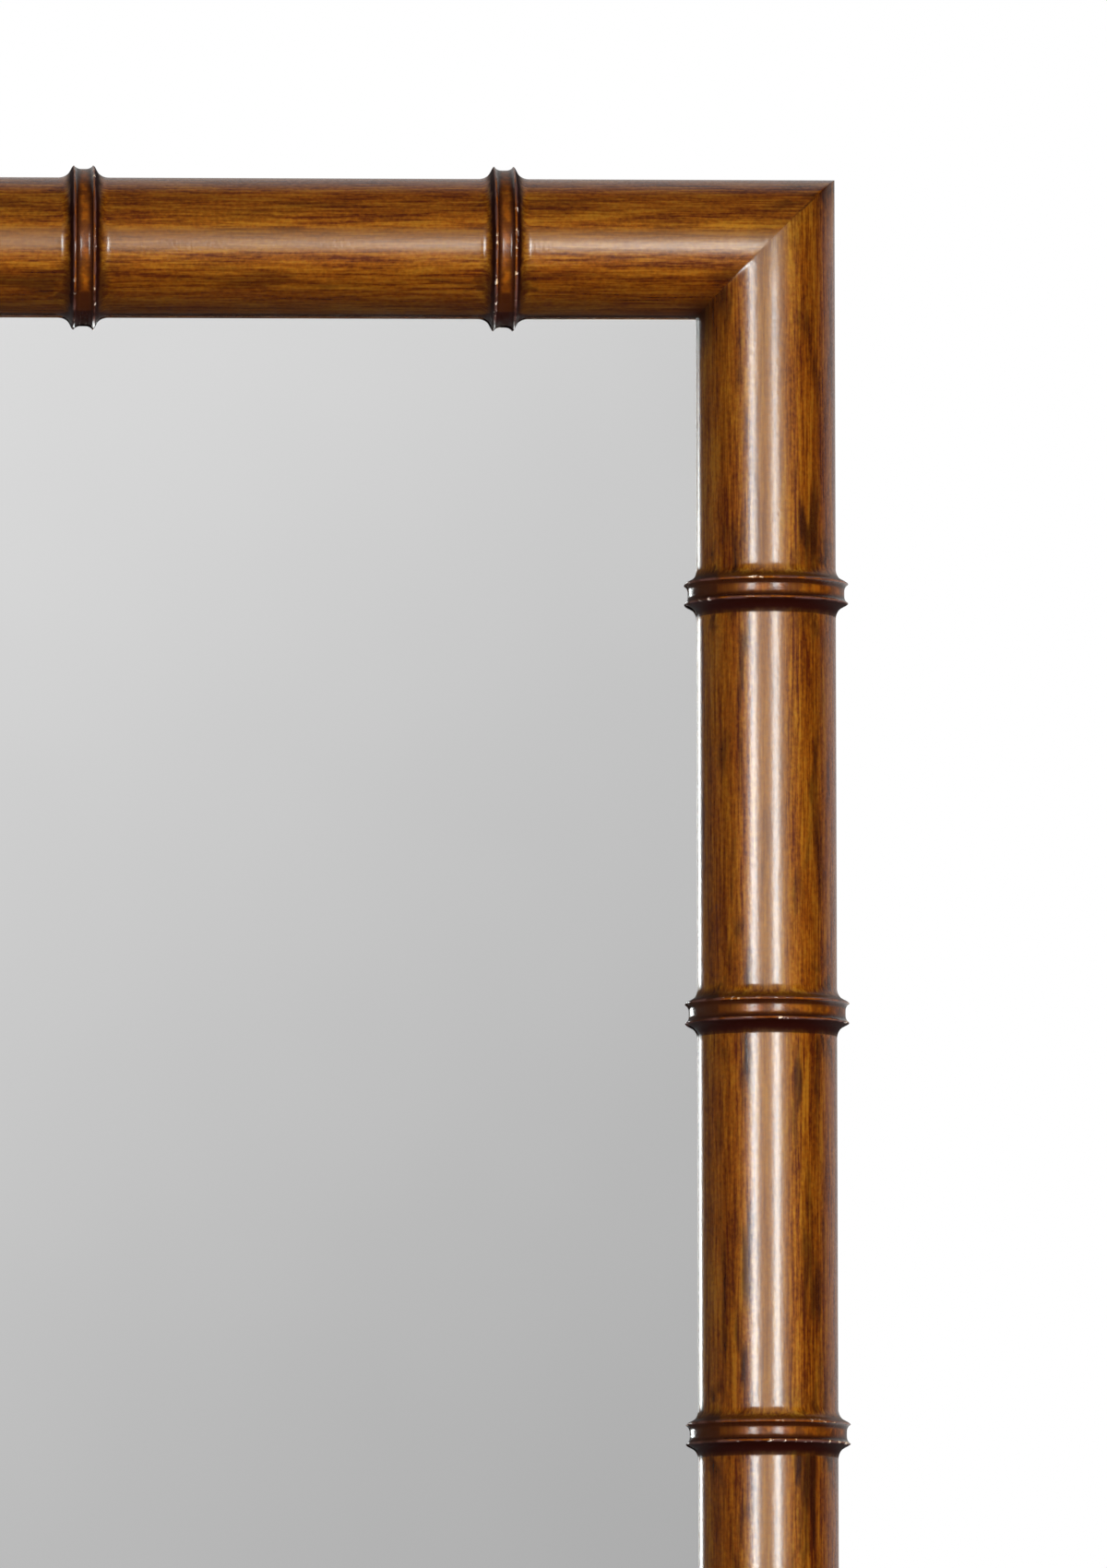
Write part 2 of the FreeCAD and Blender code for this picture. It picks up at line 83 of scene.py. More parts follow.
# Each side of the frame: its turn about Y, half its length, the distance of its outer edge from
# the middle, and whether its grain runs up.
SIDES = {
    "top": (0, OUTER[0], OUTER[1], False),
    "right": (90, OUTER[1], OUTER[0], True),
    "bottom": (180, OUTER[0], OUTER[1], False),
    "left": (270, OUTER[1], OUTER[0], True),
}
# Hardware sizes that the frame's boxes don't give.
BUTTON_TAIL = 0.007
BUTTON_BEVEL = 0.003
BUTTON_HOLE = 0.0019
BUTTON_CORNER = 0.0022
HANGER_CORNER = 0.0024
HANGER_SIDE = 0.004
HANGER_EDGE = 0.0005
LOOP_RADIUS = 0.002514
STRAP_SHEET = 0.0008
STRAP_EDGE = 0.00015
STRAP_BEVEL = 0.003
STRAP_SCREWS = (0.008, 0.024)
SHANK_RADIUS = 0.0016
BUMPER_RADIUS = 0.006
FULL_TURN = 6.283
# A turning is drawn past its mitre, and the softened mitre has rows of points so far from the cut,
# over this reach along the rail and this share of its half-width.
MITRE_OVERRUN = 0.002
MITRE_ROWS = (0.0002, 0.0005, 0.001, 0.0018, 0.003)
MITRE_REACH = 0.006
MITRE_SOFT_SHARE = 0.94
# Points this close are one point, and points this close to a cutting plane lie on it.
WELD = 1e-6
ON_PLANE = 1e-7


def linear(colour):
    """An sRGB hex colour as linear red, green, blue and 1."""
    channels = (int(colour[i : i + 2], 16) / 255 for i in (1, 3, 5))
    return (*(c / 12.92 if c <= 0.04045 else ((c + 0.055) / 1.055) ** 2.4 for c in channels), 1)


class TurningSizes(bpy.types.PropertyGroup):
    """Sizes of the half-round turnings and their node rings."""

    pitch: FloatProperty(
        name="Ring pitch", description="One node ring to the next", default=0.1332, unit="LENGTH"
    )
    rings_across: IntProperty(
        name="Rings across", description="Node rings on the top and bottom rails", default=4, min=1
    )
    rings_up: IntProperty(
        name="Rings up", description="Node rings on the side rails", default=6, min=1
    )
    crest_rise: FloatProperty(
        name="Crest rise", description="Crest above the half-round", default=0.00393, unit="LENGTH"
    )
    around: IntProperty(
        name="Facets around", description="Facets round half a turning", default=88, min=16
    )
    along: IntProperty(
        name="Points along", description="Points along one ring's bay", default=129, min=33
    )
    mitre_softness: FloatProperty(
        name="Mitre softness",
        description="How far lacquer and sanding round the mitre",
        default=0.00045,
        unit="LENGTH",
    )
    crest_wear: FloatProperty(
        name="Crest wear", description="Depth of the nicks in the crests", default=0.0003,
        unit="LENGTH",
    )
    seed: IntProperty(name="Seed", description="Places the nicks in the crests", default=7)


class FinishColours(bpy.types.PropertyGroup):
    """Colours of the wood's stain."""

    stain_dark: FloatVectorProperty(
        name="Dark stain", description="Stain in the pores and growth lines", subtype="COLOR",
        default=linear("#542401")[:3],
    )
    stain_middle: FloatVectorProperty(
        name="Stain", description="Most of the stained wood", subtype="COLOR",
        default=linear("#814c04")[:3],
    )
    stain_light: FloatVectorProperty(
        name="Light stain", description="Hard, dense streaks that took little stain",
        subtype="COLOR", default=linear("#9e6f1d")[:3],
    )


class HardwareSizes(bpy.types.PropertyGroup):
    """Sizes of the small metal and rubber pieces on the rear."""

    head_radius: FloatProperty(
        name="Screw head", description="Radius of a screw's head", default=0.0034, unit="LENGTH"
    )
    head_height: FloatProperty(
        name="Screw head height", description="Height of a screw's head", default=0.0016,
        unit="LENGTH",
    )
    edge: FloatProperty(
        name="Stamped edge", description="Rounding of stamped and rolled edges", default=0.0002,
        unit="LENGTH",
    )


class StudioSettings(bpy.types.PropertyGroup):
    """Camera, lamps and floor."""

    camera_place: FloatVectorProperty(
        name="Camera", description="Where the camera stands", size=3, subtype="XYZ",
        default=(-0.061, -5.9166, -0.2595), precision=4,
    )
    camera_pan: FloatProperty(
        name="Pan", description="Camera turned to the right", default=0.04684, subtype="ANGLE"
    )
    camera_tilt: FloatProperty(
        name="Tilt", description="Camera turned up", default=0.08988, subtype="ANGLE"
    )
    camera_roll: FloatProperty(
        name="Roll", description="Camera turned about its line of sight", default=-0.0018,
        subtype="ANGLE",
    )
    focal_length: FloatProperty(
        name="Focal length", description="Of the lens, for a 36 mm long side", default=430.11,
        unit="CAMERA",
    )
    strip_power: FloatProperty(
        name="Strip lamps", description="Power of each tall strip lamp", default=4.05,
        unit="POWER",
    )
    rear_power: FloatProperty(
        name="Rear lamp", description="Power of the lamp behind the mirror", default=9.0,
        unit="POWER",
    )
    sheen_power: FloatProperty(
        name="Top lamp", description="Power of the lamp for the top rail", default=1.0,
        unit="POWER",
    )
    fill_power: FloatProperty(
        name="Fill lamp", description="Power of the long low lamp in front, to the right", default=4.6,
        unit="POWER",
    )


GROUPS = {
    "mirror_turnings": TurningSizes,
    "mirror_finish": FinishColours,
    "mirror_hardware": HardwareSizes,
    "mirror_studio": StudioSettings,
}


def feed(tree, node, inputs):
    """Gives a node its inputs. Each is a value, or a socket that is linked to it."""
    for name, value in inputs.items():
        if isinstance(value, bpy.types.NodeSocket):
            tree.links.new(value, node.inputs[name])
        else:
            node.inputs[name].default_value = value


def add(tree, kind, inputs=None, **settings):
    """Adds a node with its settings and its inputs."""
    node = tree.nodes.new(kind)
    for name, value in settings.items():
        setattr(node, name, value)
    feed(tree, node, inputs or {})
    return node


# The steps that sums are made of: each one's node and settings, its inputs in order and its output.
MATH, RANGE, MIX = "ShaderNodeMath", "ShaderNodeMapRange", "ShaderNodeMix"
STEPS = {
    "sum": (MATH, {"operation": "ADD"}, (0, 1), 0),
    "less": (MATH, {"operation": "SUBTRACT"}, (0, 1), 0),
    "product": (MATH, {"operation": "MULTIPLY"}, (0, 1), 0),
    "quotient": (MATH, {"operation": "DIVIDE"}, (0, 1), 0),
    "power": (MATH, {"operation": "POWER"}, (0, 1), 0),
    "largest": (MATH, {"operation": "MAXIMUM"}, (0, 1), 0),
    "below": (MATH, {"operation": "LESS_THAN"}, (0, 1), 0),
    "size": (MATH, {"operation": "ABSOLUTE"}, (0,), 0),
    "sine": (MATH, {"operation": "SINE"}, (0,), 0),
    "slope": (RANGE, {}, (0, 1, 2, 3, 4), 0),
    "fade": (RANGE, {"interpolation_type": "SMOOTHSTEP"}, (0, 1, 2, 3, 4), 0),
    "blend": (MIX, {"data_type": "RGBA"}, (0, 6, 7), 2),
    "tint": (MIX, {"data_type": "RGBA", "blend_type": "MULTIPLY"}, (0, 6, 7), 2),
}


def step(tree, name, *values):
    """Adds a step and gives its result. Values past the first few are taken in one after another."""
    kind, settings, places, result = STEPS[name]
    made = add(tree, kind, dict(zip(places, values)), **settings).outputs[result]
    for value in values[len(places) :]:
        made = step(tree, name, made, value)
    return made


def ramp(node, stops):
    """Sets a colour ramp's stops: position and colour."""
    elements = node.color_ramp.elements
    while len(elements) > 1:
        elements.remove(elements[-1])
    elements[0].position, elements[0].color = stops[0]
    for position, colour in stops[1:]:
        elements.new(position).color = colour


def new_material(name):
    """An empty material and its shader."""
    material = bpy.data.materials.new(name)
    material.use_nodes = True
    tree = material.node_tree
    return material, tree, tree.nodes["Principled BSDF"]


# Finishes.

# Where the half-round's crown stands, and how far down from it, as a share, its flanks begin.
CROWN = SPRING - RAIL_WIDTH / 2
FLANK_SHARE = 0.22
# Painted shade across the half-round: what is left of each colour, from the springing at 0 to the crown
# at 1, by whether the rail is upright. It darkens both flanks, deepest at three quarters of the way to the
# crown.
EDGE_SHADE = {
    True: [
        (0.25, (0.85, 0.78, 0.7, 1)), (0.55, (0.68, 0.6, 0.5, 1)), (0.77, (0.6, 0.52, 0.42, 1)),
        (0.87, (0.72, 0.64, 0.54, 1)), (0.97, (0.98, 1.06, 1.0, 1)),
    ],
    False: [
        (0.25, (0.85, 0.78, 0.7, 1)), (0.55, (0.6, 0.55, 0.5, 1)), (0.77, (0.53, 0.48, 0.42, 1)),
        (0.87, (0.56, 0.5, 0.44, 1)), (0.97, (0.86, 0.86, 0.8, 1)),
    ],
}
# Painted sheen: the crown is painted paler and more even over so many metres of depth, by whether the
# rail is upright.
CROWN_SHEEN = {True: (0.0012, "#816352"), False: (0.0005, "#7c5d38")}
RING_STAIN = "#894803"
# Dark glaze, also the colour that painted shade darkens towards.
GLAZE_AND_SHADE = "#1e0401"
# Painted highlights on the crests: a dull mauve-brown sheen and near-white glints.
CREST_SHEEN = "#5a3b38"
CREST_GLINT = "#e0cfc6"


class Wood:
    """What the finish of a wooden piece reads at each point, and noise that follows its grain."""

    def __init__(self, tree, upright):
        self.tree, self.upright = tree, upright
        self.place = add(tree, "ShaderNodeTexCoord").outputs["Object"]
        turn = (0, math.pi / 2 if upright else 0, 0)
        self.grain = add(
            tree, "ShaderNodeMapping", {"Vector": self.place, "Rotation": turn}
        ).outputs[0]
        # Specks of about a millimetre, in the wood and in the lacquer over it.
        self.specks = self.step("fade", self.noise(1.1, 1.1, 1.0), 0.35, 0.65)

    def step(self, name, *values):
        """One step of a sum in this finish."""
        return step(self.tree, name, *values)

    def noise(self, along, across, detail=2.0, roughness=0.5):
        """Noise whose features are so many millimetres long and wide."""
        cycles = (1 / (along * MM), 1 / (across * MM), 1 / (across * MM))
        scaled = add(
            self.tree, "ShaderNodeVectorMath", {0: self.grain, 1: cycles}, operation="MULTIPLY"
        ).outputs[0]
        return add(
            self.tree, "ShaderNodeTexNoise",
            {"Vector": scaled, "Scale": 1.0, "Detail": detail, "Roughness": roughness},
        ).outputs["Fac"]


class TurnedWood(Wood):
    """What the finish of a turning reads besides: where a point lies on the rail."""

    def __init__(self, tree, upright):
        super().__init__(tree, upright)
        # The rail's outer edge, and its inner edge, where the glass comes into sight.
        self.edge = OUTER[0] if upright else OUTER[1]
        self.sight = self.edge - RAIL_WIDTH
        parts = add(tree, "ShaderNodeSeparateXYZ", {0: self.place}).outputs
        self.depth = parts["Y"]
        self.outwards = self.step("size", parts["X" if upright else "Z"])
        self.ring, self.mitre = (
            add(tree, "ShaderNodeAttribute", attribute_name=name).outputs["Fac"]
            for name in ("ring_distance", "mitre_distance")
        )
        facing = add(tree, "ShaderNodeNewGeometry").outputs["Normal"]
        self.up = add(tree, "ShaderNodeSeparateXYZ", {0: facing}).outputs["Z"]
        start = CROWN + FLANK_SHARE * (SPRING - CROWN)
        self.flank = self.step("fade", self.depth, CROWN, start, 0.25, 1.0)

    def past(self, start, end, low=0.0, high=1.0):
        """Changes from low to high between two distances from the middle of a ring."""
        return self.step("fade", self.ring, start, end, low, high)

    def from_glass(self, start, end, low=0.0, high=1.0):
        """Changes from low to high between two distances from the rail's inner edge."""
        return self.step("fade", self.outwards, self.sight + start, self.sight + end, low, high)

    def below_crown(self, start, end, low=0.0, high=1.0):
        """Changes from low to high between two depths below the crown."""
        return self.step("fade", self.depth, CROWN + start, CROWN + end, low, high)

    def from_mitre(self, start, end, low, high=0.0):
        """Changes from low to high between two distances from a mitre."""
        return self.step("fade", self.mitre, start, end, low, high)


def stained(wood):
    """Colour of the stained grain, and the growth lines that its relief follows."""
    step = wood.step
    # Growth lines 1 mm apart and 24 mm long, fibres 8 mm long, bands 4 mm wide, fine speckle.
    streaks = wood.noise(24, 1.0, 2.0, 0.55)
    shares = (
        (streaks, 0.32),
        (wood.noise(8, 0.6, 2.0, 0.65), 0.22),
        (wood.noise(42, 4, 3.0, 0.6), 0.3),
        (wood.noise(1.6, 1.1), 0.16),
    )
    tone = step("sum", *(step("product", figure, share) for figure, share in shares))
    # Short dark dashes where pores took more stain.
    tone = step("less", tone, step("fade", wood.noise(9, 0.8, 1.0), 0.62, 0.74, 0.0, 0.02))
    stain = add(wood.tree, "ShaderNodeValToRGB", {"Fac": tone})
    finish = bpy.context.scene.mirror_finish
    stops = zip((0.41, 0.5, 0.6), (finish.stain_dark, finish.stain_middle, finish.stain_light))
    ramp(stain, [(position, (*colour, 1)) for position, colour in stops])
    # The stain drifts from red-brown to olive gold in patches 8 mm wide and 45 mm long.
    drift = step("fade", wood.noise(45, 8), 0.38, 0.62)
    patches = step("blend", drift, (1.0, 0.96, 0.93, 1), (1.0, 1.04, 1.06, 1))
    colour = step("tint", 1.0, stain.outputs["Color"], patches)
    specks = step("blend", wood.specks, (0.9, 0.89, 0.88, 1), (1.09, 1.1, 1.11, 1))
    return step("tint", 1.0, colour, specks), streaks


def sheen_and_shade(wood, colour):
    """Painted light and shade: a paler even crown, darker flanks, a lighter outer edge on level rails."""
    step = wood.step
    # Painted sheen: away from the rings, the crown is blended half way to a paler, greyer colour.
    deep, sheen_colour = CROWN_SHEEN[wood.upright]
    sheen_mask = step("product", wood.below_crown(0.0001, deep, 0.5, 0.0), wood.past(0.004, 0.008))
    colour = step("blend", sheen_mask, colour, linear(sheen_colour))
    # Painted shade that darkens both flanks towards the springing.
    shade_ramp = add(wood.tree, "ShaderNodeValToRGB", {"Fac": step("slope", wood.depth, SPRING, CROWN)})
    ramp(shade_ramp, EDGE_SHADE[wood.upright])
    painted_shade = shade_ramp.outputs["Color"]
    if not wood.upright:
        # Painted light: the outer edge is painted lighter.
        less = step("fade", wood.outwards, wood.edge - 0.014, wood.edge - 0.003, 0.0, 0.6)
        painted_shade = step("blend", less, painted_shade, (1.3, 1.2, 1.1, 1))
    return step("tint", 1.0, colour, painted_shade)


def smudges(wood):
    """Smudges of dark glaze, 6 mm wide and 34 mm long."""
    return wood.step("fade", wood.noise(34, 6, 2.0, 0.55), 0.53, 0.7)


def smudges_on_turning(wood):
    """Smudges where wiping left them: down the flanks, and in clouds beside the rings."""
    step = wood.step
    if wood.upright:
        # They lie half way down the flanks.
        smeared = step(
            "product", wood.below_crown(0.0004, 0.0016, 0.12), wood.below_crown(0.004, 0.01, 1.0, 0.4)
        )
        by_ring = wood.past(0.012, 0.045, 0.87, 0.68)
    else:
        smeared = wood.flank
        by_ring = wood.past(0.012, 0.045, 0.7, 0.5)
    clouds = step("fade", wood.noise(14, 7, 3.0, 0.6), 0.5, 0.64)
    found = step(
        "largest",
        step("product", smudges(wood), smeared, by_ring),
        step("product", clouds, wood.past(0.007, 0.024, 0.8, 0.0), wood.below_crown(0, 0.007, 0.25)),
    )
    if not wood.upright:
        # Fewer along the outer edge.
        shielded = step("fade", wood.outwards, wood.edge - 0.015, wood.edge - 0.006, 1.0, 0.25)
        found = step("product", found, shielded)
    return found


def glaze_and_shade_in_flares(wood):
    """Glaze left in the hollow flares, from 3.3 mm to 6 mm or more from the middle of a ring, and painted
    shade on upright rails where the flares face down.
    """
    step = wood.step
    ragged = step("sum", wood.ring, step("product", wood.noise(3, 2.5), 0.0016))
    outside = step("fade", ragged, 0.0050, 0.0074, 1.0, 0.0)
    if wood.upright:
        # Painted shade: a flare that faces down is darker and wider than one that faces up.
        run = step(
            "product", step("fade", wood.up, -0.12, -0.02, 1.0, 0.0),
            step("fade", ragged, 0.0066, 0.0128, 1.0, 0.0),
        )
        outside = step("largest", outside, run)
        outside = step("product", outside, step("fade", wood.up, 0.05, 0.35, 1.0, 0.6))
    else:
        # More of it is left towards the glass.
        by_glass = step(
            "product", wood.from_glass(0.009, 0.021, 0.85, 0.0),
            step("fade", ragged, 0.0055, 0.0105, 1.0, 0.0),
        )
        outside = step("largest", outside, by_glass)
    return step("product", wood.past(0.0031, 0.0035), outside)


def glaze_and_shade_in_valleys(wood):
    """Glaze wiped into both sides of the valley between a ring's crests, and mottled between, and on
    upright rails painted shade.
    """
    step = wood.step
    mottled = step("fade", wood.noise(3, 3), 0.36, 0.62, 0.15, 0.6)
    if wood.upright:
        # Painted shade: the side under the upper crest, which faces down, and the end by the glass are
        # darker.
        shade_under_crest = step("fade", wood.up, -0.3, 0.02, 0.9, 0.1)
        mottled = step("largest", mottled, shade_under_crest, wood.from_glass(0.008, 0.018, 0.7, 0.0))
    return step(
        "product", wood.past(0.0003, 0.0022, mottled, 0.94), wood.past(0.0026, 0.0029, 1.0, 0.0)
    )


def seam_and_shade_by_mitres(wood):
    """A thin dark line, broken on the crown, a ragged painted shadow along each mitre, and painted shade
    in the inner corner by the glass.
    """
    step = wood.step
    broken = step("fade", wood.noise(5, 5, 1.0), 0.35, 0.6, 0.3, 1.0)
    seam = step("product", wood.from_mitre(0.0001, 0.0006, 0.8), wood.flank, broken)
    clouds = step("fade", wood.noise(9, 5), 0.42, 0.62)
    shadow = step("product", clouds, wood.from_mitre(0.001, 0.012, 0.75), wood.flank)
    # Painted shade in the inner corner, by the glass.
    inner = step(
        "product", wood.from_mitre(0.0, 0.02, 0.95), wood.from_glass(0.001, 0.012, 1.0, 0.0)
    )
    return step("largest", seam, shadow, inner)


def glaze_and_shade_by_glass(wood, near_glass):
    """Glaze and painted shade where the turning meets the glass, and on the tips of the rings over it."""
    step = wood.step
    # Painted shade on the ring tips over the glass.
    tips = step("product", near_glass, wood.past(0.004, 0.009, 0.9, 0.0))
    if wood.upright:
        return step("largest", wood.from_glass(0, 0.009, 0.3, 0.0), tips)
    # Painted shadow: a dark line where a level rail meets the glass.
    line = wood.from_glass(0.0002, 0.0012, 1.0, 0.0)
    return step("largest", wood.from_glass(0, 0.0102, 0.8, 0.0), line, tips)


def crest_highlights(wood, colour):
    """Painted highlights on the crests: a broken, dull mauve-brown sheen, and near-white glints here and
    there.
    """
    step = wood.step
    crest = step("product", wood.past(0.0026, 0.0029), wood.past(0.0033, 0.0038, 1.0, 0.0))
    # Painted highlight: a dull mauve-brown sheen, broken, along each crest.
    sheen_on_crest = step("product", crest, step("fade", wood.noise(5, 5), 0.38, 0.62, 0.1, 1.0))
    colour = step("blend", sheen_on_crest, colour, linear(CREST_SHEEN))
    # Painted highlight: near-white glints on the crests.
    glints = step(
        "product", step("fade", wood.noise(2.5, 1.9), 0.56, 0.62),
        step("fade", wood.noise(17, 17), 0.54, 0.6),
    )
    return step("blend", step("product", crest, glints), colour, linear(CREST_GLINT))


def lacquer_left(wood, flares, near_glass):
    """How much of the lacquer's shine is left: glaze and wiping dull it in the hollows."""
    step = wood.step
    sides = step("product", wood.past(0.0007, 0.0016, 0.15), wood.past(0.0028, 0.0031, 1.0, 0.0))
    off_crest = step(
        "product", step("largest", sides, wood.past(0.0034, 0.0036)),
        wood.past(0.0065, 0.012, 1.0, 0.0),
    )
    # Wiping left less lacquer along the glass, least of all by the inner corners.
    thin = step(
        "product", wood.from_mitre(0.0, 0.09, 0.88, 0.5), wood.from_glass(0.002, 0.005, 1.0, 0.0)
    )
    dull = [flares, step("product", near_glass, off_crest), wood.past(0.0018, 0.0026, 0.4, 0.0), thin]
    if wood.upright:
        # The outer bar of light dies away at the corners, where the mitre was rubbed down.
        dull.append(
            step("product", wood.from_mitre(0.002, 0.013, 0.5), wood.from_glass(0.0195, 0.0225))
        )
    left = step("less", 1.0, step("largest", *dull))
    return step("product", left, step("fade", wood.specks, 0.0, 1.0, 0.8, 1.0))


def lacquered_hardwood(name, upright, turned):
    """Hardwood stained golden brown, glazed dark in its hollows and lacquered to a gloss.

    The eye gets short fine growth streaks along the grain, slow bands of redder and paler brown,
    soft dark clouds of antique glaze, and a clear coat with a faint orange peel that draws the
    lamps as long bright bars. On the turnings, painted shade darkens the flanks, the hollows that
    face down and the edges by the glass, and painted light pales the crown, the crests and the
    outer edge of the level rails.
    """
    material, tree, shader = new_material(name)
    wood = (TurnedWood if turned else Wood)(tree, upright)
    step = wood.step
    colour, streaks = stained(wood)
    if turned:
        colour = sheen_and_shade(wood, colour)
        near_glass = wood.from_glass(0.005, 0.0075, 1.0, 0.0)
        flares = glaze_and_shade_in_flares(wood)
        # Glaze together with painted shade from the flares, the valleys, the mitres and the glass.
        glaze = step(
            "largest", smudges_on_turning(wood), seam_and_shade_by_mitres(wood), flares,
            glaze_and_shade_in_valleys(wood), glaze_and_shade_by_glass(wood, near_glass),
        )
        # The grain is cut across in the rings, so it shows less there.
        cut_across = wood.past(0.003, 0.006, 0.65, 0.0)
        colour = step("blend", cut_across, colour, linear(RING_STAIN))
        # Glaze and painted shade blended towards dark, then painted highlights on the crests.
        colour = crest_highlights(wood, step("blend", glaze, colour, linear(GLAZE_AND_SHADE)))
    else:
        glaze = step("product", smudges(wood), 0.5)
        colour = step("blend", glaze, colour, linear(GLAZE_AND_SHADE))
    # Orange peel a millimetre across, over longer waves, and pores along the grain.
    peel = step("product", wood.noise(1.2, 1.2, 1.0), 2.6)
    waves = step("product", wood.noise(9, 5, 1.0), 0.2)
    coat = add(
        tree, "ShaderNodeBump",
        {"Height": step("sum", peel, waves), "Strength": 1.0, "Distance": 0.012 * MM},
    ).outputs[0]
    pores = add(
        tree, "ShaderNodeBump", {"Height": streaks, "Strength": 0.5, "Distance": 0.05 * MM}
    ).outputs[0]
    feed(
        tree, shader,
        {"Base Color": colour, "Normal": pores, "Roughness": 0.7, "Specular IOR Level": 0.08,
         "Coat Normal": coat, "Coat Weight": 1.0, "Coat Roughness": 0.23, "Coat IOR": 1.6,
         "Coat Tint": linear("#f6dfb4")},
    )
    if turned:
        feed(tree, shader, {"Coat Weight": lacquer_left(wood, flares, near_glass)})
    return material


def silvered_glass():
    """Silvered float glass: a clean grey-white mirror with hardly any blur."""
    material, tree, shader = new_material("silvered_float_glass")
    place = add(tree, "ShaderNodeTexCoord").outputs["Object"]
    # Silver dulls by a percent or two in clouds about 60 mm across.
    cloud = add(
        tree, "ShaderNodeTexNoise", {"Vector": place, "Scale": 1 / (60 * MM), "Detail": 1.0}
    ).outputs["Fac"]
    silver = add(tree, "ShaderNodeValToRGB", {"Fac": cloud})
    ramp(silver, [(0.3, linear("#f8f8f8")), (0.7, linear("#fafafa"))])
    feed(tree, shader, {"Base Color": silver.outputs["Color"], "Metallic": 1.0, "Roughness": 0.02})
    return material


def speckled(name, colours, size, roughness, metallic=0.0, depth=0.02, stretch=1.0):
    """A finish of one hue that varies in spots of a size in millimetres, with a fine relief."""
    material, tree, shader = new_material(name)
    place = add(tree, "ShaderNodeTexCoord").outputs["Object"]
    cycles = (1 / (size * MM), 1 / (size * MM), 1 / (size * stretch * MM))
    scaled = add(
        tree, "ShaderNodeVectorMath", {0: place, 1: cycles}, operation="MULTIPLY"
    ).outputs[0]
    spots = add(
        tree, "ShaderNodeTexNoise", {"Vector": scaled, "Scale": 1.0, "Detail": 3.0}
    ).outputs["Fac"]
    shade = add(tree, "ShaderNodeValToRGB", {"Fac": spots})
    ramp(shade, [(0.35, linear(colours[0])), (0.65, linear(colours[1]))])
    relief = add(
        tree, "ShaderNodeBump", {"Height": spots, "Strength": 0.6, "Distance": depth * MM}
    ).outputs[0]
    feed(
        tree, shader,
        {"Base Color": shade.outputs["Color"], "Normal": relief, "Metallic": metallic,
         "Roughness": step(tree, "slope", spots, 0.3, 0.7, roughness, roughness + 0.1)},
    )
    return material


def screen_backed_hardboard():
    """Hardboard, rough side out: brown pressed fibre with the print of the press's wire screen."""
    material = speckled("screen_backed_hardboard", ("#6d4a30", "#8a6344"), 3.0, 0.8, depth=0.05)
    tree = material.node_tree
    shader = tree.nodes["Principled BSDF"]
    place = add(tree, "ShaderNodeTexCoord").outputs["Object"]
    parts = add(tree, "ShaderNodeSeparateXYZ", {0: place}).outputs
    # The screen's wires are 1.3 mm apart; drawn at 2 mm, so that they show.
    wires = 2 * MM
    waves = [
        step(tree, "sine", step(tree, "product", parts[axis], math.pi / wires)) for axis in ("X", "Z")
    ]
    print_of_screen = add(
        tree, "ShaderNodeBump",
        {"Height": step(tree, "product", *waves), "Strength": 0.5, "Distance": 0.1 * MM,
         "Normal": shader.inputs["Normal"].links[0].from_socket},
    ).outputs[0]
    feed(tree, shader, {"Normal": print_of_screen})
    return material


def finishes():
    """Every finish, made once."""
    if "zinc_plated_steel" not in bpy.data.materials:
        lacquered_hardwood("lacquered_hardwood_across", False, True)
        lacquered_hardwood("lacquered_hardwood_upright", True, True)
        lacquered_hardwood("rail_hardwood_across", False, False)
        lacquered_hardwood("rail_hardwood_upright", True, False)
        silvered_glass()
        screen_backed_hardboard()
        # Rolled sheet plated with zinc: pale grey with a faint warm and cool bloom.
        speckled("zinc_plated_steel", ("#b9b7ab", "#cfd0cd"), 2.5, 0.28, 1.0, 0.01, 3.0)
        # Turned and nickel-plated screws: brighter than the sheet, finely scratched.
        speckled("nickel_plated_screw", ("#c4bfb2", "#d9d6cc"), 0.7, 0.2, 1.0, 0.006)
        # Bare rolled steel of the mitre nails, dulled by handling.
        speckled("rolled_steel", ("#77777a", "#97979a"), 1.5, 0.4, 1.0, 0.02)
        # Moulded rubber, matt black with a bloom of dust.
        speckled("moulded_rubber", ("#131313", "#1e1d1c"), 1.2, 0.62, 0.0, 0.03)
        # Closed-cell foam sheet, soft white with cells under a millimetre.
        speckled("closed_cell_foam", ("#dcdcd6", "#efefea"), 0.8, 0.85, 0.0, 0.12)
    return bpy.data.materials


# Making meshes.


def link(obj):
    """Puts an object into the scene."""
    bpy.context.scene.collection.objects.link(obj)
    return obj


def grown(name, tree, values, start=None):
    """The mesh that a Geometry Nodes tree grows with these inputs, as a plain mesh."""
    obj = link(bpy.data.objects.new(name, start or bpy.data.meshes.new(name)))
    modifier = obj.modifiers.new("grow", "NODES")
    modifier.node_group = tree
    for item in tree.interface.items_tree:
        if item.item_type == "SOCKET" and item.in_out == "INPUT" and item.name in values:
            modifier[item.identifier] = values[item.name]
    graph = bpy.context.evaluated_depsgraph_get()
    mesh = bpy.data.meshes.new_from_object(obj.evaluated_get(graph))
    obj.modifiers.remove(modifier)
    if not mesh.polygons:
        raise RuntimeError(f"{name} grew no faces")
    obj.data = mesh
    mesh.name = name
    return obj


def new_tree(name, inputs):
    """A Geometry Nodes tree with these inputs, its input node and its output node."""
    tree = bpy.data.node_groups.new(name, "GeometryNodeTree")
    for label, kind, value in inputs:
        item = tree.interface.new_socket(label, in_out="INPUT", socket_type="NodeSocket" + kind)
        if value is not None:
            item.default_value = value
    tree.interface.new_socket("Geometry", in_out="OUTPUT", socket_type="NodeSocketGeometry")
    return tree, tree.nodes.new("NodeGroupInput").outputs, tree.nodes.new("NodeGroupOutput")


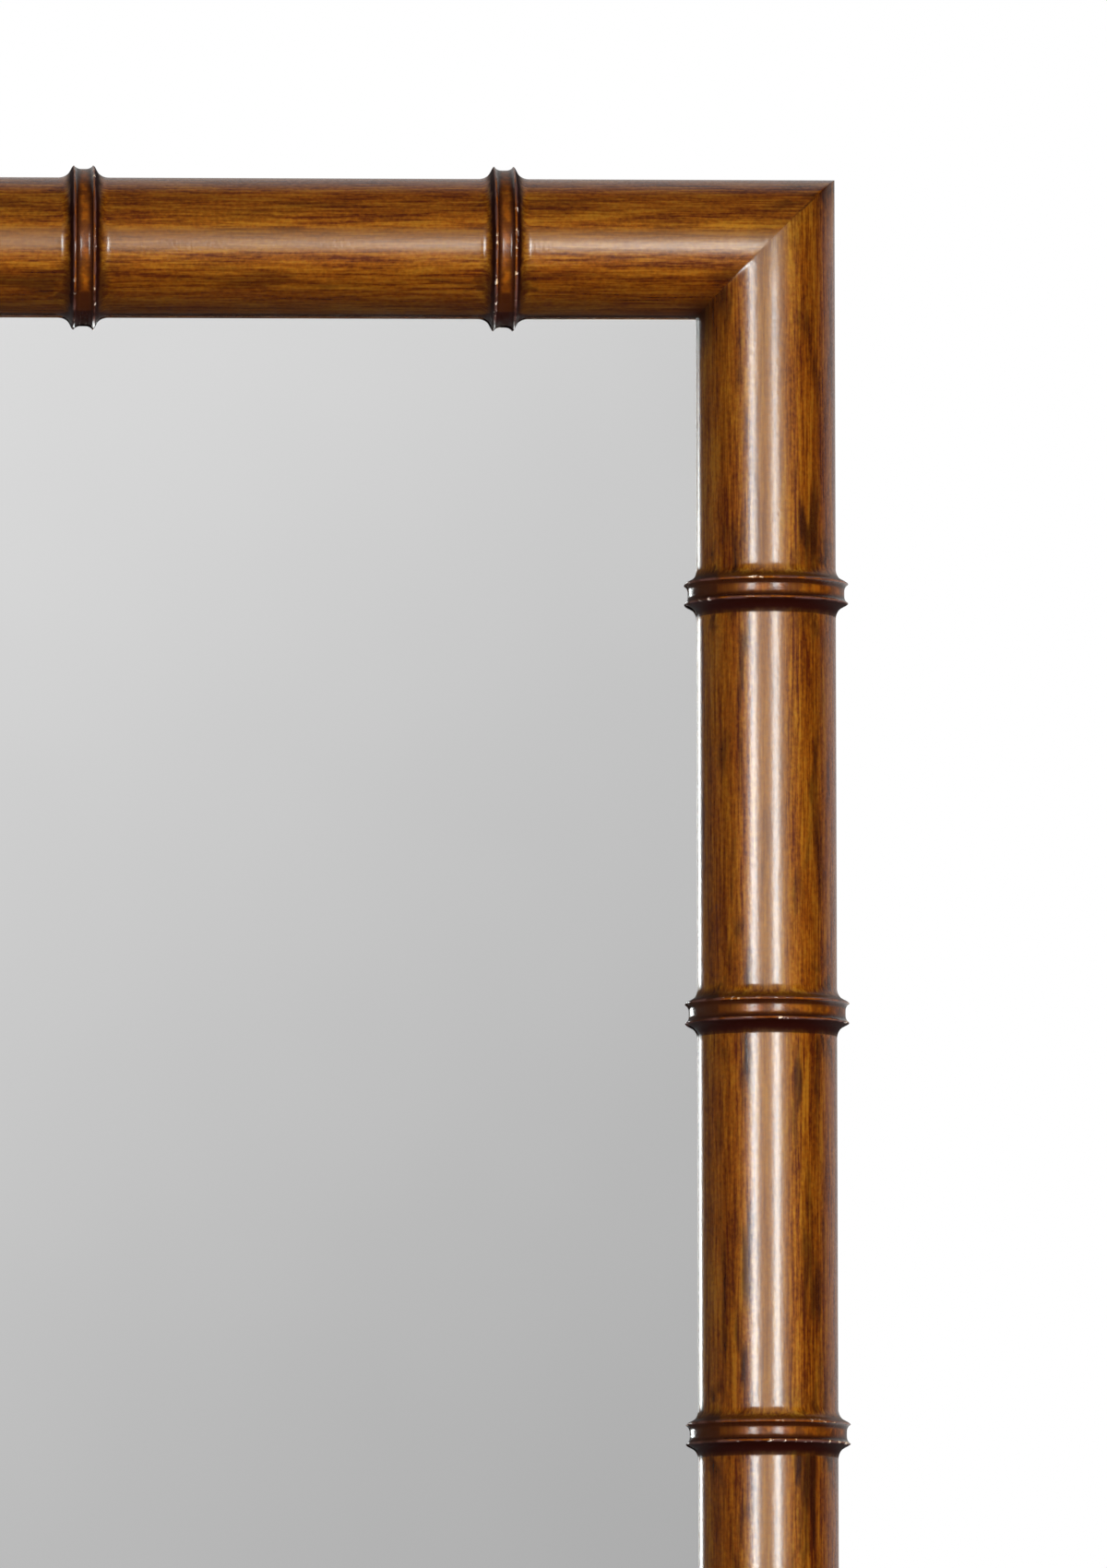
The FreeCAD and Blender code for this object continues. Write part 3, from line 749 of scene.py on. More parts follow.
def finish_piece(obj, body, slot, *nodes):
    """Shades the piece smooth, hangs it on the body it rides on and hides the CAD nodes it stands for.

    The slot is not used.
    """
    for polygon in obj.data.polygons:
        polygon.use_smooth = True
    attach(obj, body)
    if nodes:
        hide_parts(*nodes)
    return obj


def mark_flat_faces(mesh, angle=math.radians(40)):
    """Keeps faces smooth, with the edges sharper than this angle left crisp."""
    edged = bmesh.new()
    edged.from_mesh(mesh)
    for edge in edged.edges:
        if len(edge.link_faces) == 2 and edge.calc_face_angle(0) > angle:
            edge.smooth = False
    edged.to_mesh(mesh)
    edged.free()


# Half of a node ring's section: shares of its reach from the middle, and of the crest's rise. A
# shallow cove, a narrow crest, then a hollow flare.
RING_REACH = 0.012
CREST_PLACE = 0.0031
RING_SECTION_SHARES = [
    (0.0, 0.685), (0.1, 0.695), (0.175, 0.77), (0.23, 0.9), (0.2583, 1.0), (0.283, 0.93),
    (0.344, 0.6), (0.408, 0.3), (0.475, 0.15), (0.56, 0.045), (0.66, 0.0), (1.0, 0.0),
]


class TurningTree:
    """Geometry Nodes tree of a half-round turning along X with evenly spaced node rings."""

    # Points of the path crowd within this distance of a ring's middle.
    CROWD = 0.009
    # Points of neighbouring bays that are this close become one.
    BAY_WELD = 0.00002
    # How long the nicks in the crests are, and how far from a crest they reach.
    NICK_LENGTH = 2.6 * MM
    NICK_REACH = 0.0006
    # Points along a turning's plain end, past its last bay.
    PLAIN_POINTS = 16

    def __init__(self):
        self.tree, self.given, out = new_tree(
            "bamboo_turning",
            [
                ("Half length", "Float", 0.3),
                ("Rings", "Int", 4),
                ("Pitch", "Float", 0.1332),
                ("Radius", "Float", 0.022),
                ("Crest rise", "Float", 0.004),
                ("Around", "Int", 88),
                ("Along", "Int", 129),
                ("Crest wear", "Float", 0.0003),
                ("Seed", "Int", 7),
                ("Material", "Material", None),
            ],
        )
        # The section: half a circle, closed by its diameter, bulging towards -Y.
        half_circle = self.made(
            "GeometryNodeCurveArc",
            {"Resolution": self.given["Around"], "Radius": self.given["Radius"],
             "Start Angle": -math.pi / 2, "Sweep Angle": math.pi},
        )
        self.section = self.made(
            "GeometryNodeSetSplineCyclic", {"Geometry": half_circle, "Cyclic": True}
        )
        self.half_pitch = self.step("quotient", self.given["Pitch"], 2.0)
        self.reach = self.step("product", self.given["Rings"], self.half_pitch)

        joined = add(self.tree, "GeometryNodeJoinGeometry")
        for geometry in (self.plain_end(-1.0), self.plain_end(1.0), self.bays()):
            self.tree.links.new(geometry, joined.inputs[0])
        whole = self.made("GeometryNodeRealizeInstances", {"Geometry": joined.outputs[0]})
        whole = self.made(
            "GeometryNodeMergeByDistance", {"Geometry": whole, "Distance": self.BAY_WELD}
        )
        whole = self.nicked(whole)
        whole = self.made("GeometryNodeRealizeInstances", {"Geometry": whole})
        whole = self.made(
            "GeometryNodeSetMaterial", {"Geometry": whole, "Material": self.given["Material"]}
        )
        self.tree.links.new(whole, out.inputs[0])

    def made(self, kind, inputs=None, **settings):
        """The first output of a new node."""
        return add(self.tree, kind, inputs, **settings).outputs[0]

    def step(self, name, *values):
        """One step of a sum in this tree."""
        return step(self.tree, name, *values)

    def at_x(self, value):
        """A place on the X axis."""
        return self.made("ShaderNodeCombineXYZ", {"X": value})

    def position_x(self):
        """The X coordinate of each point."""
        position = self.made("GeometryNodeInputPosition")
        return self.made("ShaderNodeSeparateXYZ", {0: position})

    def path(self, count, start, end):
        """A straight path with evenly spaced points."""
        line = self.made(
            "GeometryNodeMeshLine", {"Count": count, "Start Location": start, "Offset": end},
            mode="END_POINTS",
        )
        return self.made("GeometryNodeMeshToCurve", {"Mesh": line})

    def swept(self, path, swell, distance):
        """The section swept along a path, with each point's distance from the nearest ring."""
        surface = self.made(
            "GeometryNodeCurveToMesh",
            {"Curve": path, "Profile Curve": self.section, "Scale": swell, "Fill Caps": False},
        )
        return self.made(
            "GeometryNodeStoreNamedAttribute",
            {"Geometry": surface, "Name": "ring_distance", "Value": distance},
            data_type="FLOAT", domain="POINT",
        )

    def bays(self):
        """One bay for each ring: its path is scaled by the ring's section."""
        share = self.position_x()
        wide = self.step("less", self.half_pitch, self.CROWD)
        spread_out = self.step(
            "sum", self.step("product", share, self.CROWD),
            self.step("product", self.step("power", share, 5.0), wide),
        )
        path = self.made(
            "GeometryNodeSetPosition",
            {"Geometry": self.path(self.given["Along"], (-1, 0, 0), (1, 0, 0)),
             "Position": self.at_x(spread_out)},
        )
        away = self.step("size", self.position_x())
        curve = add(
            self.tree, "ShaderNodeFloatCurve", {"Value": self.step("quotient", away, RING_REACH)}
        )
        points = curve.mapping.curves[0].points
        points[0].location, points[1].location = RING_SECTION_SHARES[0], RING_SECTION_SHARES[-1]
        for place in RING_SECTION_SHARES[1:-1]:
            points.new(*place)
        for point in points:
            point.handle_type = "AUTO_CLAMPED"
        curve.mapping.update()
        rise = self.step("product", curve.outputs[0], self.given["Crest rise"])
        swell = self.step("sum", 1.0, self.step("quotient", rise, self.given["Radius"]))
        first = self.at_x(self.step("less", self.half_pitch, self.reach))
        places = self.made(
            "GeometryNodeMeshLine",
            {"Count": self.given["Rings"], "Start Location": first,
             "Offset": self.at_x(self.given["Pitch"])},
            mode="OFFSET",
        )
        return self.made(
            "GeometryNodeInstanceOnPoints",
            {"Points": places, "Instance": self.swept(path, swell, away)},
        )

    def plain_end(self, sign):
        """The plain stretch from the last bay past the mitre, to one side."""
        near = self.at_x(self.step("product", self.reach, sign))
        far = self.at_x(self.step("product", self.given["Half length"], sign))
        path = self.path(self.PLAIN_POINTS, *((far, near) if sign < 0 else (near, far)))
        last_ring = self.step("less", self.reach, self.half_pitch)
        past_ring = self.step("less", self.step("size", self.position_x()), last_ring)
        return self.swept(path, 1.0, past_ring)

    def nicked(self, geometry):
        """Sinks nicks 2 to 3 mm long into the crests; none stands above a crest."""
        distance = self.made(
            "GeometryNodeInputNamedAttribute", {"Name": "ring_distance"}, data_type="FLOAT"
        )
        from_crest = self.step("size", self.step("less", distance, CREST_PLACE))
        on_crest = self.step("slope", from_crest, 0.0, self.NICK_REACH, 1.0, 0.0)
        noise = add(
            self.tree, "ShaderNodeTexNoise",
            {"Vector": self.made("GeometryNodeInputPosition"), "W": self.given["Seed"],
             "Scale": 1 / self.NICK_LENGTH, "Detail": 1.0},
            noise_dimensions="4D",
        ).outputs["Fac"]
        nicks = self.step("slope", noise, 0.5, 0.7)
        depth = self.step("product", self.given["Crest wear"], -1.0)
        sunk = self.step("product", self.step("product", on_crest, nicks), depth)
        offset = self.made(
            "ShaderNodeVectorMath",
            {0: self.made("GeometryNodeInputNormal"), "Scale": sunk}, operation="SCALE",
        )
        return self.made("GeometryNodeSetPosition", {"Geometry": geometry, "Offset": offset})


def cut_mitres(mesh, half_length, outer, softness):
    """Cuts a turning, drawn along X below z = outer, at its two mitres, and softens them.

    Past the cut the neighbouring rail goes on, so the surface there is blended into it over a few
    tenths of a millimetre: a rounded arris outside, and a fillet of lacquer inside.
    """
    radius = RAIL_WIDTH / 2
    soft = MITRE_SOFT_SHARE * radius
    cut = bmesh.new()
    cut.from_mesh(mesh)

    def split(offset, clear):
        for sign in (-1, 1):
            bmesh.ops.bisect_plane(
                cut,
                geom=cut.verts[:] + cut.edges[:] + cut.faces[:],
                dist=ON_PLANE,
                plane_co=(sign * (half_length - offset), 0, outer),
                plane_no=(sign, 0, -1),
                clear_outer=clear,
            )

    split(0, True)
    for offset in MITRE_ROWS:
        split(offset, False)
    open_edges = [edge for edge in cut.edges if edge.is_boundary]
    bmesh.ops.holes_fill(cut, edges=open_edges, sides=0)

    def height(across):
        return math.sqrt(max(radius**2 - across**2, 0))

    layer = cut.verts.layers.float.new("mitre_distance")
    for vertex in cut.verts:
        own = vertex.co.z - (outer - radius)
        other = abs(vertex.co.x) - (half_length - radius)
        vertex[layer] = abs(own - other) / math.sqrt(2)
        if vertex.co.y > SPRING - WELD or own - other > MITRE_REACH or abs(own) > soft:
            continue
        fade = 1 - (own / soft) ** 4
        met = (own + other) / 2 + math.hypot((own - other) / 2, softness * fade)
        vertex.co.y -= height(met) - height(own)
    flat = [face for face in cut.faces if len(face.verts) > 4]
    bmesh.ops.triangulate(cut, faces=flat)
    bmesh.ops.recalc_face_normals(cut, faces=cut.faces[:])
    cut.to_mesh(mesh)
    cut.free()


class MIRROR_OT_turnings(bpy.types.Operator):
    """Make the four half-round turnings with their node rings, mitred at the corners"""

    bl_idname = "mirror.turnings"
    bl_label = "Bamboo turnings"

    def execute(self, context):
        sizes = context.scene.mirror_turnings
        tree = TurningTree().tree
        for side, (turn, half_length, outer, upright) in SIDES.items():
            wood = "lacquered_hardwood_" + ("upright" if upright else "across")
            obj = grown(
                f"{side}_half_round",
                tree,
                {
                    "Half length": half_length + MITRE_OVERRUN,
                    "Rings": sizes.rings_up if upright else sizes.rings_across,
                    "Pitch": sizes.pitch,
                    "Radius": RAIL_WIDTH / 2,
                    "Crest rise": sizes.crest_rise,
                    "Around": sizes.around,
                    "Along": sizes.along,
                    "Crest wear": sizes.crest_wear,
                    "Seed": sizes.seed + turn,
                    "Material": finishes()[wood],
                },
            )
            obj.data.transform(Matrix.Translation((0, SPRING, outer - RAIL_WIDTH / 2)))
            cut_mitres(obj.data, half_length, outer, sizes.mitre_softness)
            obj.data.transform(Matrix.Rotation(math.radians(turn), 4, "Y"))
            finish_piece(obj, "frame", "wood", f"{side}_turning")
            mark_flat_faces(obj.data)
        return {"FINISHED"}


class MIRROR_OT_backing_frame(bpy.types.Operator):
    """Finish the flat rails, the mitre nails, the glass and what lies behind it"""

    bl_idname = "mirror.backing_frame"
    bl_label = "Rails, glass and backing"

    def execute(self, context):
        stock = finishes()
        wanted = {
            "mitre_nails": "rolled_steel",
            "mirror_glass": "silvered_float_glass",
            "cushion_sheet": "closed_cell_foam",
            "backing_board": "screen_backed_hardboard",
        }
        for side, (_, _, _, upright) in SIDES.items():
            wanted[f"{side}_rail"] = "rail_hardwood_" + ("upright" if upright else "across")
        for node, name in wanted.items():
            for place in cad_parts[node].material_slots:
                place.material = stock[name]
        return {"FINISHED"}


def bow(centre_x, centre_z, radius, start, end, steps):
    """Points along an arc in X and Z, from one angle to the other in degrees."""
    turns = [math.radians(start + (end - start) * i / steps) for i in range(steps + 1)]
    return [(centre_x + radius * math.cos(a), centre_z + radius * math.sin(a)) for a in turns]


def rounded_outline(corners, radius, steps=4):
    """A closed outline whose corners are rounded to a radius."""
    points = []
    for i, corner in enumerate(corners):
        here = Vector(corner)
        before, after = Vector(corners[i - 1]) - here, Vector(corners[(i + 1) % len(corners)]) - here
        half = before.angle(after) / 2
        back = min(radius / math.tan(half), before.length / 2, after.length / 2)
        first, last = here + before.normalized() * back, here + after.normalized() * back
        for step in range(steps + 1):
            t = step / steps
            points.append(tuple(first * (1 - t) ** 2 + here * 2 * t * (1 - t) + last * t**2))
    return points


def stamped(name, outlines, thickness, edge, material):
    """A sheet stamped from outlines in X and Z, holes among them, with its edges rounded."""
    drawing = bpy.data.curves.new(name, "CURVE")
    drawing.dimensions, drawing.fill_mode = "2D", "BOTH"
    drawing.extrude, drawing.bevel_depth = thickness / 2 - edge, edge
    drawing.offset, drawing.bevel_resolution = -edge, 2
    for outline in outlines:
        spline = drawing.splines.new("POLY")
        spline.points.add(len(outline) - 1)
        for point, (x, z) in zip(spline.points, outline):
            point.co = (x, z, 0, 1)
        spline.use_cyclic_u = True
    flat = link(bpy.data.objects.new(name + "_drawing", drawing))
    graph = bpy.context.evaluated_depsgraph_get()
    mesh = bpy.data.meshes.new_from_object(flat.evaluated_get(graph))
    bpy.data.objects.remove(flat)
    bpy.data.curves.remove(drawing)
    mesh.transform(Matrix.Rotation(math.pi / 2, 4, "X"))
    welded = bmesh.new()
    welded.from_mesh(mesh)
    bmesh.ops.remove_doubles(welded, verts=welded.verts[:], dist=WELD)
    bmesh.ops.recalc_face_normals(welded, faces=welded.faces[:])
    welded.to_mesh(mesh)
    welded.free()
    mesh.materials.clear()
    mesh.materials.append(material)
    return link(bpy.data.objects.new(name, mesh))


def turned_piece(name, section, material, facets=40):
    """A solid turned about Y from its section: radius and height behind its seat, from the axis."""
    mesh = bpy.data.meshes.new(name)
    lathe = bmesh.new()
    path = [lathe.verts.new((radius, height, 0)) for radius, height in section]
    edges = [lathe.edges.new(pair) for pair in zip(path, path[1:])]
    bmesh.ops.spin(
        lathe, geom=path + edges, axis=(0, 1, 0), cent=(0, 0, 0), steps=facets, angle=2 * math.pi
    )
    bmesh.ops.remove_doubles(lathe, verts=lathe.verts[:], dist=WELD)
    bmesh.ops.recalc_face_normals(lathe, faces=lathe.faces[:])
    lathe.to_mesh(mesh)
    lathe.free()
    mesh.materials.append(material)
    return link(bpy.data.objects.new(name, mesh))


def cross_recess(head, radius, height):
    """Presses a tapered cross into a screw's head."""
    cutter = bpy.data.meshes.new("cross_punch")
    punch = bmesh.new()
    for turn in (0, math.pi / 2):
        made = bmesh.ops.create_cube(punch, size=1.0)["verts"]
        for vertex in made:
            deep = vertex.co.y < 0
            vertex.co.x *= radius * (0.55 if deep else 1.15)
            vertex.co.z *= radius * (0.18 if deep else 0.3)
            vertex.co.y = height * (0.3 if deep else 1.2)
        bmesh.ops.rotate(punch, verts=made, cent=(0, 0, 0), matrix=Matrix.Rotation(turn, 3, "Y"))
    punch.to_mesh(cutter)
    punch.free()
    tool = link(bpy.data.objects.new("cross_punch", cutter))
    cut = head.modifiers.new("recess", "BOOLEAN")
    cut.operation, cut.solver, cut.object, cut.use_self = "DIFFERENCE", "EXACT", tool, True
    graph = bpy.context.evaluated_depsgraph_get()
    mesh = bpy.data.meshes.new_from_object(head.evaluated_get(graph))
    head.modifiers.remove(cut)
    head.data = mesh
    bpy.data.objects.remove(tool)
    bpy.data.meshes.remove(cutter)


def placing_tree():
    """Geometry Nodes tree that sets one pattern piece at every point, each turned about Y."""
    tree, given, out = new_tree(
        "pieces_at_points",
        [
            ("Geometry", "Geometry", None),
            ("Pattern piece", "Object", None),
            ("Largest turn", "Float", FULL_TURN),
            ("Seed", "Int", 3),
            ("Material", "Material", None),
        ],
    )
    pattern = add(tree, "GeometryNodeObjectInfo", {"Object": given["Pattern piece"]})
    turn = add(
        tree, "FunctionNodeRandomValue",
        {2: 0.0, 3: given["Largest turn"], "Seed": given["Seed"]}, data_type="FLOAT",
    ).outputs[1]
    spin = add(tree, "ShaderNodeCombineXYZ", {"Y": turn}).outputs[0]
    placed = add(
        tree, "GeometryNodeInstanceOnPoints",
        {"Points": given["Geometry"], "Instance": pattern.outputs["Geometry"], "Rotation": spin},
    ).outputs[0]
    real = add(tree, "GeometryNodeRealizeInstances", {"Geometry": placed}).outputs[0]
    finished = add(
        tree, "GeometryNodeSetMaterial", {"Geometry": real, "Material": given["Material"]}
    ).outputs[0]
    tree.links.new(finished, out.inputs[0])
    return tree


def placed(name, tree, pattern, places, material, turn, seed):
    """Copies of a pattern piece at these places, as one mesh; the pattern piece goes."""
    points = bpy.data.meshes.new(name + "_places")
    points.from_pydata(places, [], [])
    values = {"Pattern piece": pattern, "Largest turn": turn, "Seed": seed, "Material": material}
    obj = grown(name, tree, values, points)
    bpy.data.objects.remove(pattern)
    return obj


def centre(node):
    """Middle of a CAD node's box."""
    low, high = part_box(node)
    return (low + high) / 2


def pivots():
    """Each turn button's node, its turn about Y and its pivot on the plane Y = 0."""
    found = []
    for side, (turn, _, _, _) in SIDES.items():
        for node in sorted(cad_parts):
            if not node.startswith(f"{side}_turn_button"):
                continue
            back = Matrix.Rotation(math.radians(turn), 4, "Y")
            middle = back.inverted() @ centre(node)
            low, high = (back.inverted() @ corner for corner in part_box(node))
            reach = abs(high.z - low.z) / 2
            pivot = back @ Vector((middle.x, 0, middle.z + reach - BUTTON_TAIL))
            found.append((node, turn, pivot))
    return found


def rolled_strap(name, width, length, material):
    """A strip folded round the ring's bar, both legs together below, cut off at its corners.

    The loop's middle is the origin; the legs hang down, the rear leg against the rail.
    """
    mid = LOOP_RADIUS - STRAP_SHEET / 2
    behind = [(-mid, -length), (-mid, 0)]
    over = bow(0, 0, mid, 180, -58, 22)[1:]
    # The front leg bends back under the bar until it lies against the rear leg.
    leg = mid - STRAP_SHEET - 0.00004
    under = [(-0.0001, -0.0026), (-0.0008, -0.0032), (-leg + 0.00015, -0.0040), (-leg, -0.0050)]
    path = [Vector(point) for point in (*behind, *over, *under, (-leg, -length))]
    left, right = [], []
    for i, here in enumerate(path):
        ahead = (path[min(i + 1, len(path) - 1)] - path[max(i - 1, 0)]).normalized()
        across = Vector((-ahead.y, ahead.x)) * STRAP_SHEET / 2
        left.append(tuple(here + across))
        right.append(tuple(here - across))
    strap = stamped(name, [left + right[::-1]], width, STRAP_EDGE, material)
    # Drawn flat in X and Z: turned so that its width runs along X and its depth along Y.
    strap.data.transform(Matrix.Rotation(math.pi / 2, 4, "Z"))
    cut = bmesh.new()
    cut.from_mesh(strap.data)
    for sign in (-1, 1):
        bmesh.ops.bisect_plane(
            cut, geom=cut.verts[:] + cut.edges[:] + cut.faces[:], dist=ON_PLANE, clear_outer=True,
            plane_co=(sign * (width / 2 - STRAP_BEVEL), 0, -length), plane_no=(sign, 0, -1),
        )
        rim = [edge for edge in cut.edges if edge.is_boundary]
        bmesh.ops.holes_fill(cut, edges=rim, sides=0)
    bmesh.ops.recalc_face_normals(cut, faces=cut.faces[:])
    cut.to_mesh(strap.data)
    cut.free()
    return strap


class MIRROR_OT_turn_buttons(bpy.types.Operator):
    """Make the six stamped turn buttons that hold the backing board in"""

    bl_idname = "mirror.turn_buttons"
    bl_label = "Turn buttons"

    def execute(self, context):
        sizes = context.scene.mirror_hardware
        zinc = finishes()["zinc_plated_steel"]
        for node, turn, pivot in pivots():
            low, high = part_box(node)
            half = min(high.x - low.x, high.z - low.z) / 2
            tip = BUTTON_TAIL - max(high.x - low.x, high.z - low.z)
            beside = half - BUTTON_BEVEL
            corners = [
                (beside, BUTTON_TAIL), (half, BUTTON_TAIL - BUTTON_BEVEL),
                (half, tip + BUTTON_BEVEL), (beside, tip),
                (-beside, tip), (-half, tip + BUTTON_BEVEL),
                (-half, BUTTON_TAIL - BUTTON_BEVEL), (-beside, BUTTON_TAIL),
            ]
            hole = bow(0, 0, BUTTON_HOLE, 0, 345, 23)
            button = stamped(
                node + "_strip", [rounded_outline(corners, BUTTON_CORNER), hole], high.y - low.y,
                sizes.edge, zinc,
            )
            button.data.transform(
                Matrix.Translation((pivot.x, (low.y + high.y) / 2, pivot.z))
                @ Matrix.Rotation(math.radians(turn), 4, "Y")
            )
            finish_piece(button, node, "zinc", node)
            mark_flat_faces(button.data)
        return {"FINISHED"}


class MIRROR_OT_hangers(bpy.types.Operator):
    """Make the two hanger straps and the rings that swing in them"""

    bl_idname = "mirror.hangers"
    bl_label = "Hangers"

    def execute(self, context):
        zinc = finishes()["zinc_plated_steel"]
        for side in ("left", "right"):
            low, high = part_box(f"{side}_hanger_ring")
            half, sheet = (high.x - low.x) / 2, high.y - low.y
            # The ring's rim is as wide as its sheet is thick.
            rim = sheet
            bar = low.z + rim / 2
            place = Matrix.Translation(((low.x + high.x) / 2, (low.y + high.y) / 2, bar))
            outlines = []
            for inset in (0, rim):
                wide, corner = half - inset, HANGER_CORNER - inset
                drop = rim / 2 - inset
                outlines.append(
                    bow(wide - corner, corner - drop, corner, -90, 0, 6)
                    + bow(0, HANGER_SIDE, wide, 0, 180, 32)
                    + bow(corner - wide, corner - drop, corner, 180, 270, 6)
                )
            ring = stamped(f"{side}_swinging_ring", outlines, sheet, HANGER_EDGE, zinc)
            ring.data.transform(place)
            finish_piece(ring, f"{side}_hanger_ring", "zinc", f"{side}_hanger_ring")

            low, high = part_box(f"{side}_hanger_strap")
            strap = rolled_strap(f"{side}_rolled_strap", high.x - low.x, bar - low.z, zinc)
            strap.data.transform(place)
            finish_piece(strap, "frame", "zinc", f"{side}_hanger_strap")
            mark_flat_faces(strap.data)
        return {"FINISHED"}


def pan_head_section(radius, height, length):
    """Section of a pan head screw: straight rim, domed top, shank below."""
    rim, arris = height * 0.45, 0.0001
    dome = [
        (radius * math.cos(math.radians(a)), rim + (height - rim) * math.sin(math.radians(a)))
        for a in range(0, 91, 15)
    ]
    return [
        (0, height), *dome[-2::-1], (radius, arris), (radius - arris, 0),
        (SHANK_RADIUS, 0), (SHANK_RADIUS, -length), (0, -length),
    ]


def bumper_section(deep):
    """Section of a rubber bumper: a tapered side, a rounded shoulder and a dimple in its end."""
    shoulder, taper, arris = 0.0016, 0.0004, 0.0002
    centre_out, centre_up = BUMPER_RADIUS - taper - shoulder, deep - shoulder
    section = [
        (0, 0), (BUMPER_RADIUS - arris, 0), (BUMPER_RADIUS, arris),
        (BUMPER_RADIUS - taper, centre_up),
    ]
    section += [
        (centre_out + shoulder * math.cos(math.radians(a)),
         centre_up + shoulder * math.sin(math.radians(a)))
        for a in (20, 40, 60, 80, 90)
    ]
    return section + [(0.0016, deep), (0.0011, deep - 0.0005), (0, deep - 0.0006)]


class MIRROR_OT_fixings(bpy.types.Operator):
    """Make the screws and the rubber bumpers"""

    bl_idname = "mirror.fixings"
    bl_label = "Screws and bumpers"

    def execute(self, context):
        sizes = context.scene.mirror_hardware
        stock = finishes()
        nickel, rubber = stock["nickel_plated_screw"], stock["moulded_rubber"]
        tree = placing_tree()
        radius, height = sizes.head_radius, sizes.head_height
        low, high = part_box("turn_button_screws")
        seats = {
            "turn_button": [(pivot.x, high.y - height, pivot.z) for _, _, pivot in pivots()],
            "strap": [
                (centre(f"{side}_hanger_strap").x, REAR + 2 * STRAP_SHEET,
                 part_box(f"{side}_hanger_ring")[0].z + 0.001 - drop)
                for side in ("left", "right")
                for drop in STRAP_SCREWS
            ],
        }
        for kind, places in seats.items():
            section = pan_head_section(radius, height, high.y - low.y - height)
            screw = turned_piece("pan_head_screw", section, nickel)
            cross_recess(screw, radius, height)
            screws = placed(
                f"{kind}_pan_heads", tree, screw, places, nickel, FULL_TURN, 5 + len(places)
            )
            nodes = ["turn_button_screws"] if kind == "turn_button" else []
            finish_piece(screws, "frame", "steel", *nodes)
            mark_flat_faces(screws.data)

        low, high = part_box("wall_bumpers")
        section = bumper_section(high.y - low.y)[::-1]
        bumper = turned_piece("moulded_bumper", section, rubber, 48)
        spots = [
            (sign_x * (high.x - BUMPER_RADIUS), low.y, sign_z * (high.z - BUMPER_RADIUS))
            for sign_x in (-1, 1) for sign_z in (-1, 1)
        ]
        bumpers = placed("moulded_bumpers", tree, bumper, spots, rubber, FULL_TURN, 3)
        finish_piece(bumpers, "frame", "rubber", "wall_bumpers")
        mark_flat_faces(bumpers.data)
        return {"FINISHED"}


# Studio.

# The lamps and the camera look at the side rail that shows most.
SHOWN_X = 0.28
SHOWN_Z = 0.3
STRIP_DISTANCE = 2.6
STRIP_HEIGHT = 0.88
LAMP_SPREAD = 70
FLOOR_HALF = 30.0
FLOOR_GAP = 0.002


def backdrop_world():
    """The studio round the mirror: a white sweep behind it, a grey room in front of it.

    The lens sees white all round. A glossy surface sees the white sweep behind, and in front a
    grey wall that is lighter to the upper left, with dark wings to either side.
    """
    world = bpy.data.worlds.new("studio")
    bpy.context.scene.world = world
    world.use_nodes = True
    tree = world.node_tree
    tree.nodes.clear()
    make = partial(step, tree)
    direction = add(tree, "ShaderNodeTexCoord").outputs["Generated"]
    parts = add(tree, "ShaderNodeSeparateXYZ", {0: direction}).outputs
    forward = make("largest", make("product", parts["Y"], -1.0), 0.05)
    sideways = make("quotient", parts["X"], forward)
    upwards = make("quotient", parts["Z"], forward)
    slope = make("less", make("product", upwards, 3.6), make("product", sideways, 2.9))
    wall = make("fade", slope, -0.144, 0.626, 0.38, 0.885)
    # The wall ends in dark wings and a dark ceiling.
    left_wing = make("fade", make("product", sideways, -1.0), 0.7, 1.1, 1.0, 0.04)
    wings = make("product", left_wing, make("fade", sideways, 0.95, 1.5, 1.0, 0.04))
    ceiling = make("fade", upwards, 0.18, 0.42, 1.0, 0.05)
    front = make("product", wall, wings, ceiling)
    seen = make("sum", front, make("fade", parts["Y"], 0.08, 0.6, 0.0, 0.6))
    rays = add(tree, "ShaderNodeLightPath").outputs
    glossy = make("largest", rays["Is Glossy Ray"], rays["Is Transmission Ray"])
    other = make("less", 1.0, make("largest", glossy, rays["Is Camera Ray"]))
    level = make(
        "sum", make("product", glossy, seen), rays["Is Camera Ray"], make("product", other, 0.25)
    )
    background = add(tree, "ShaderNodeBackground", {"Color": linear("#ffffff"), "Strength": level})
    output = add(tree, "ShaderNodeOutputWorld")
    tree.links.new(background.outputs[0], output.inputs[0])


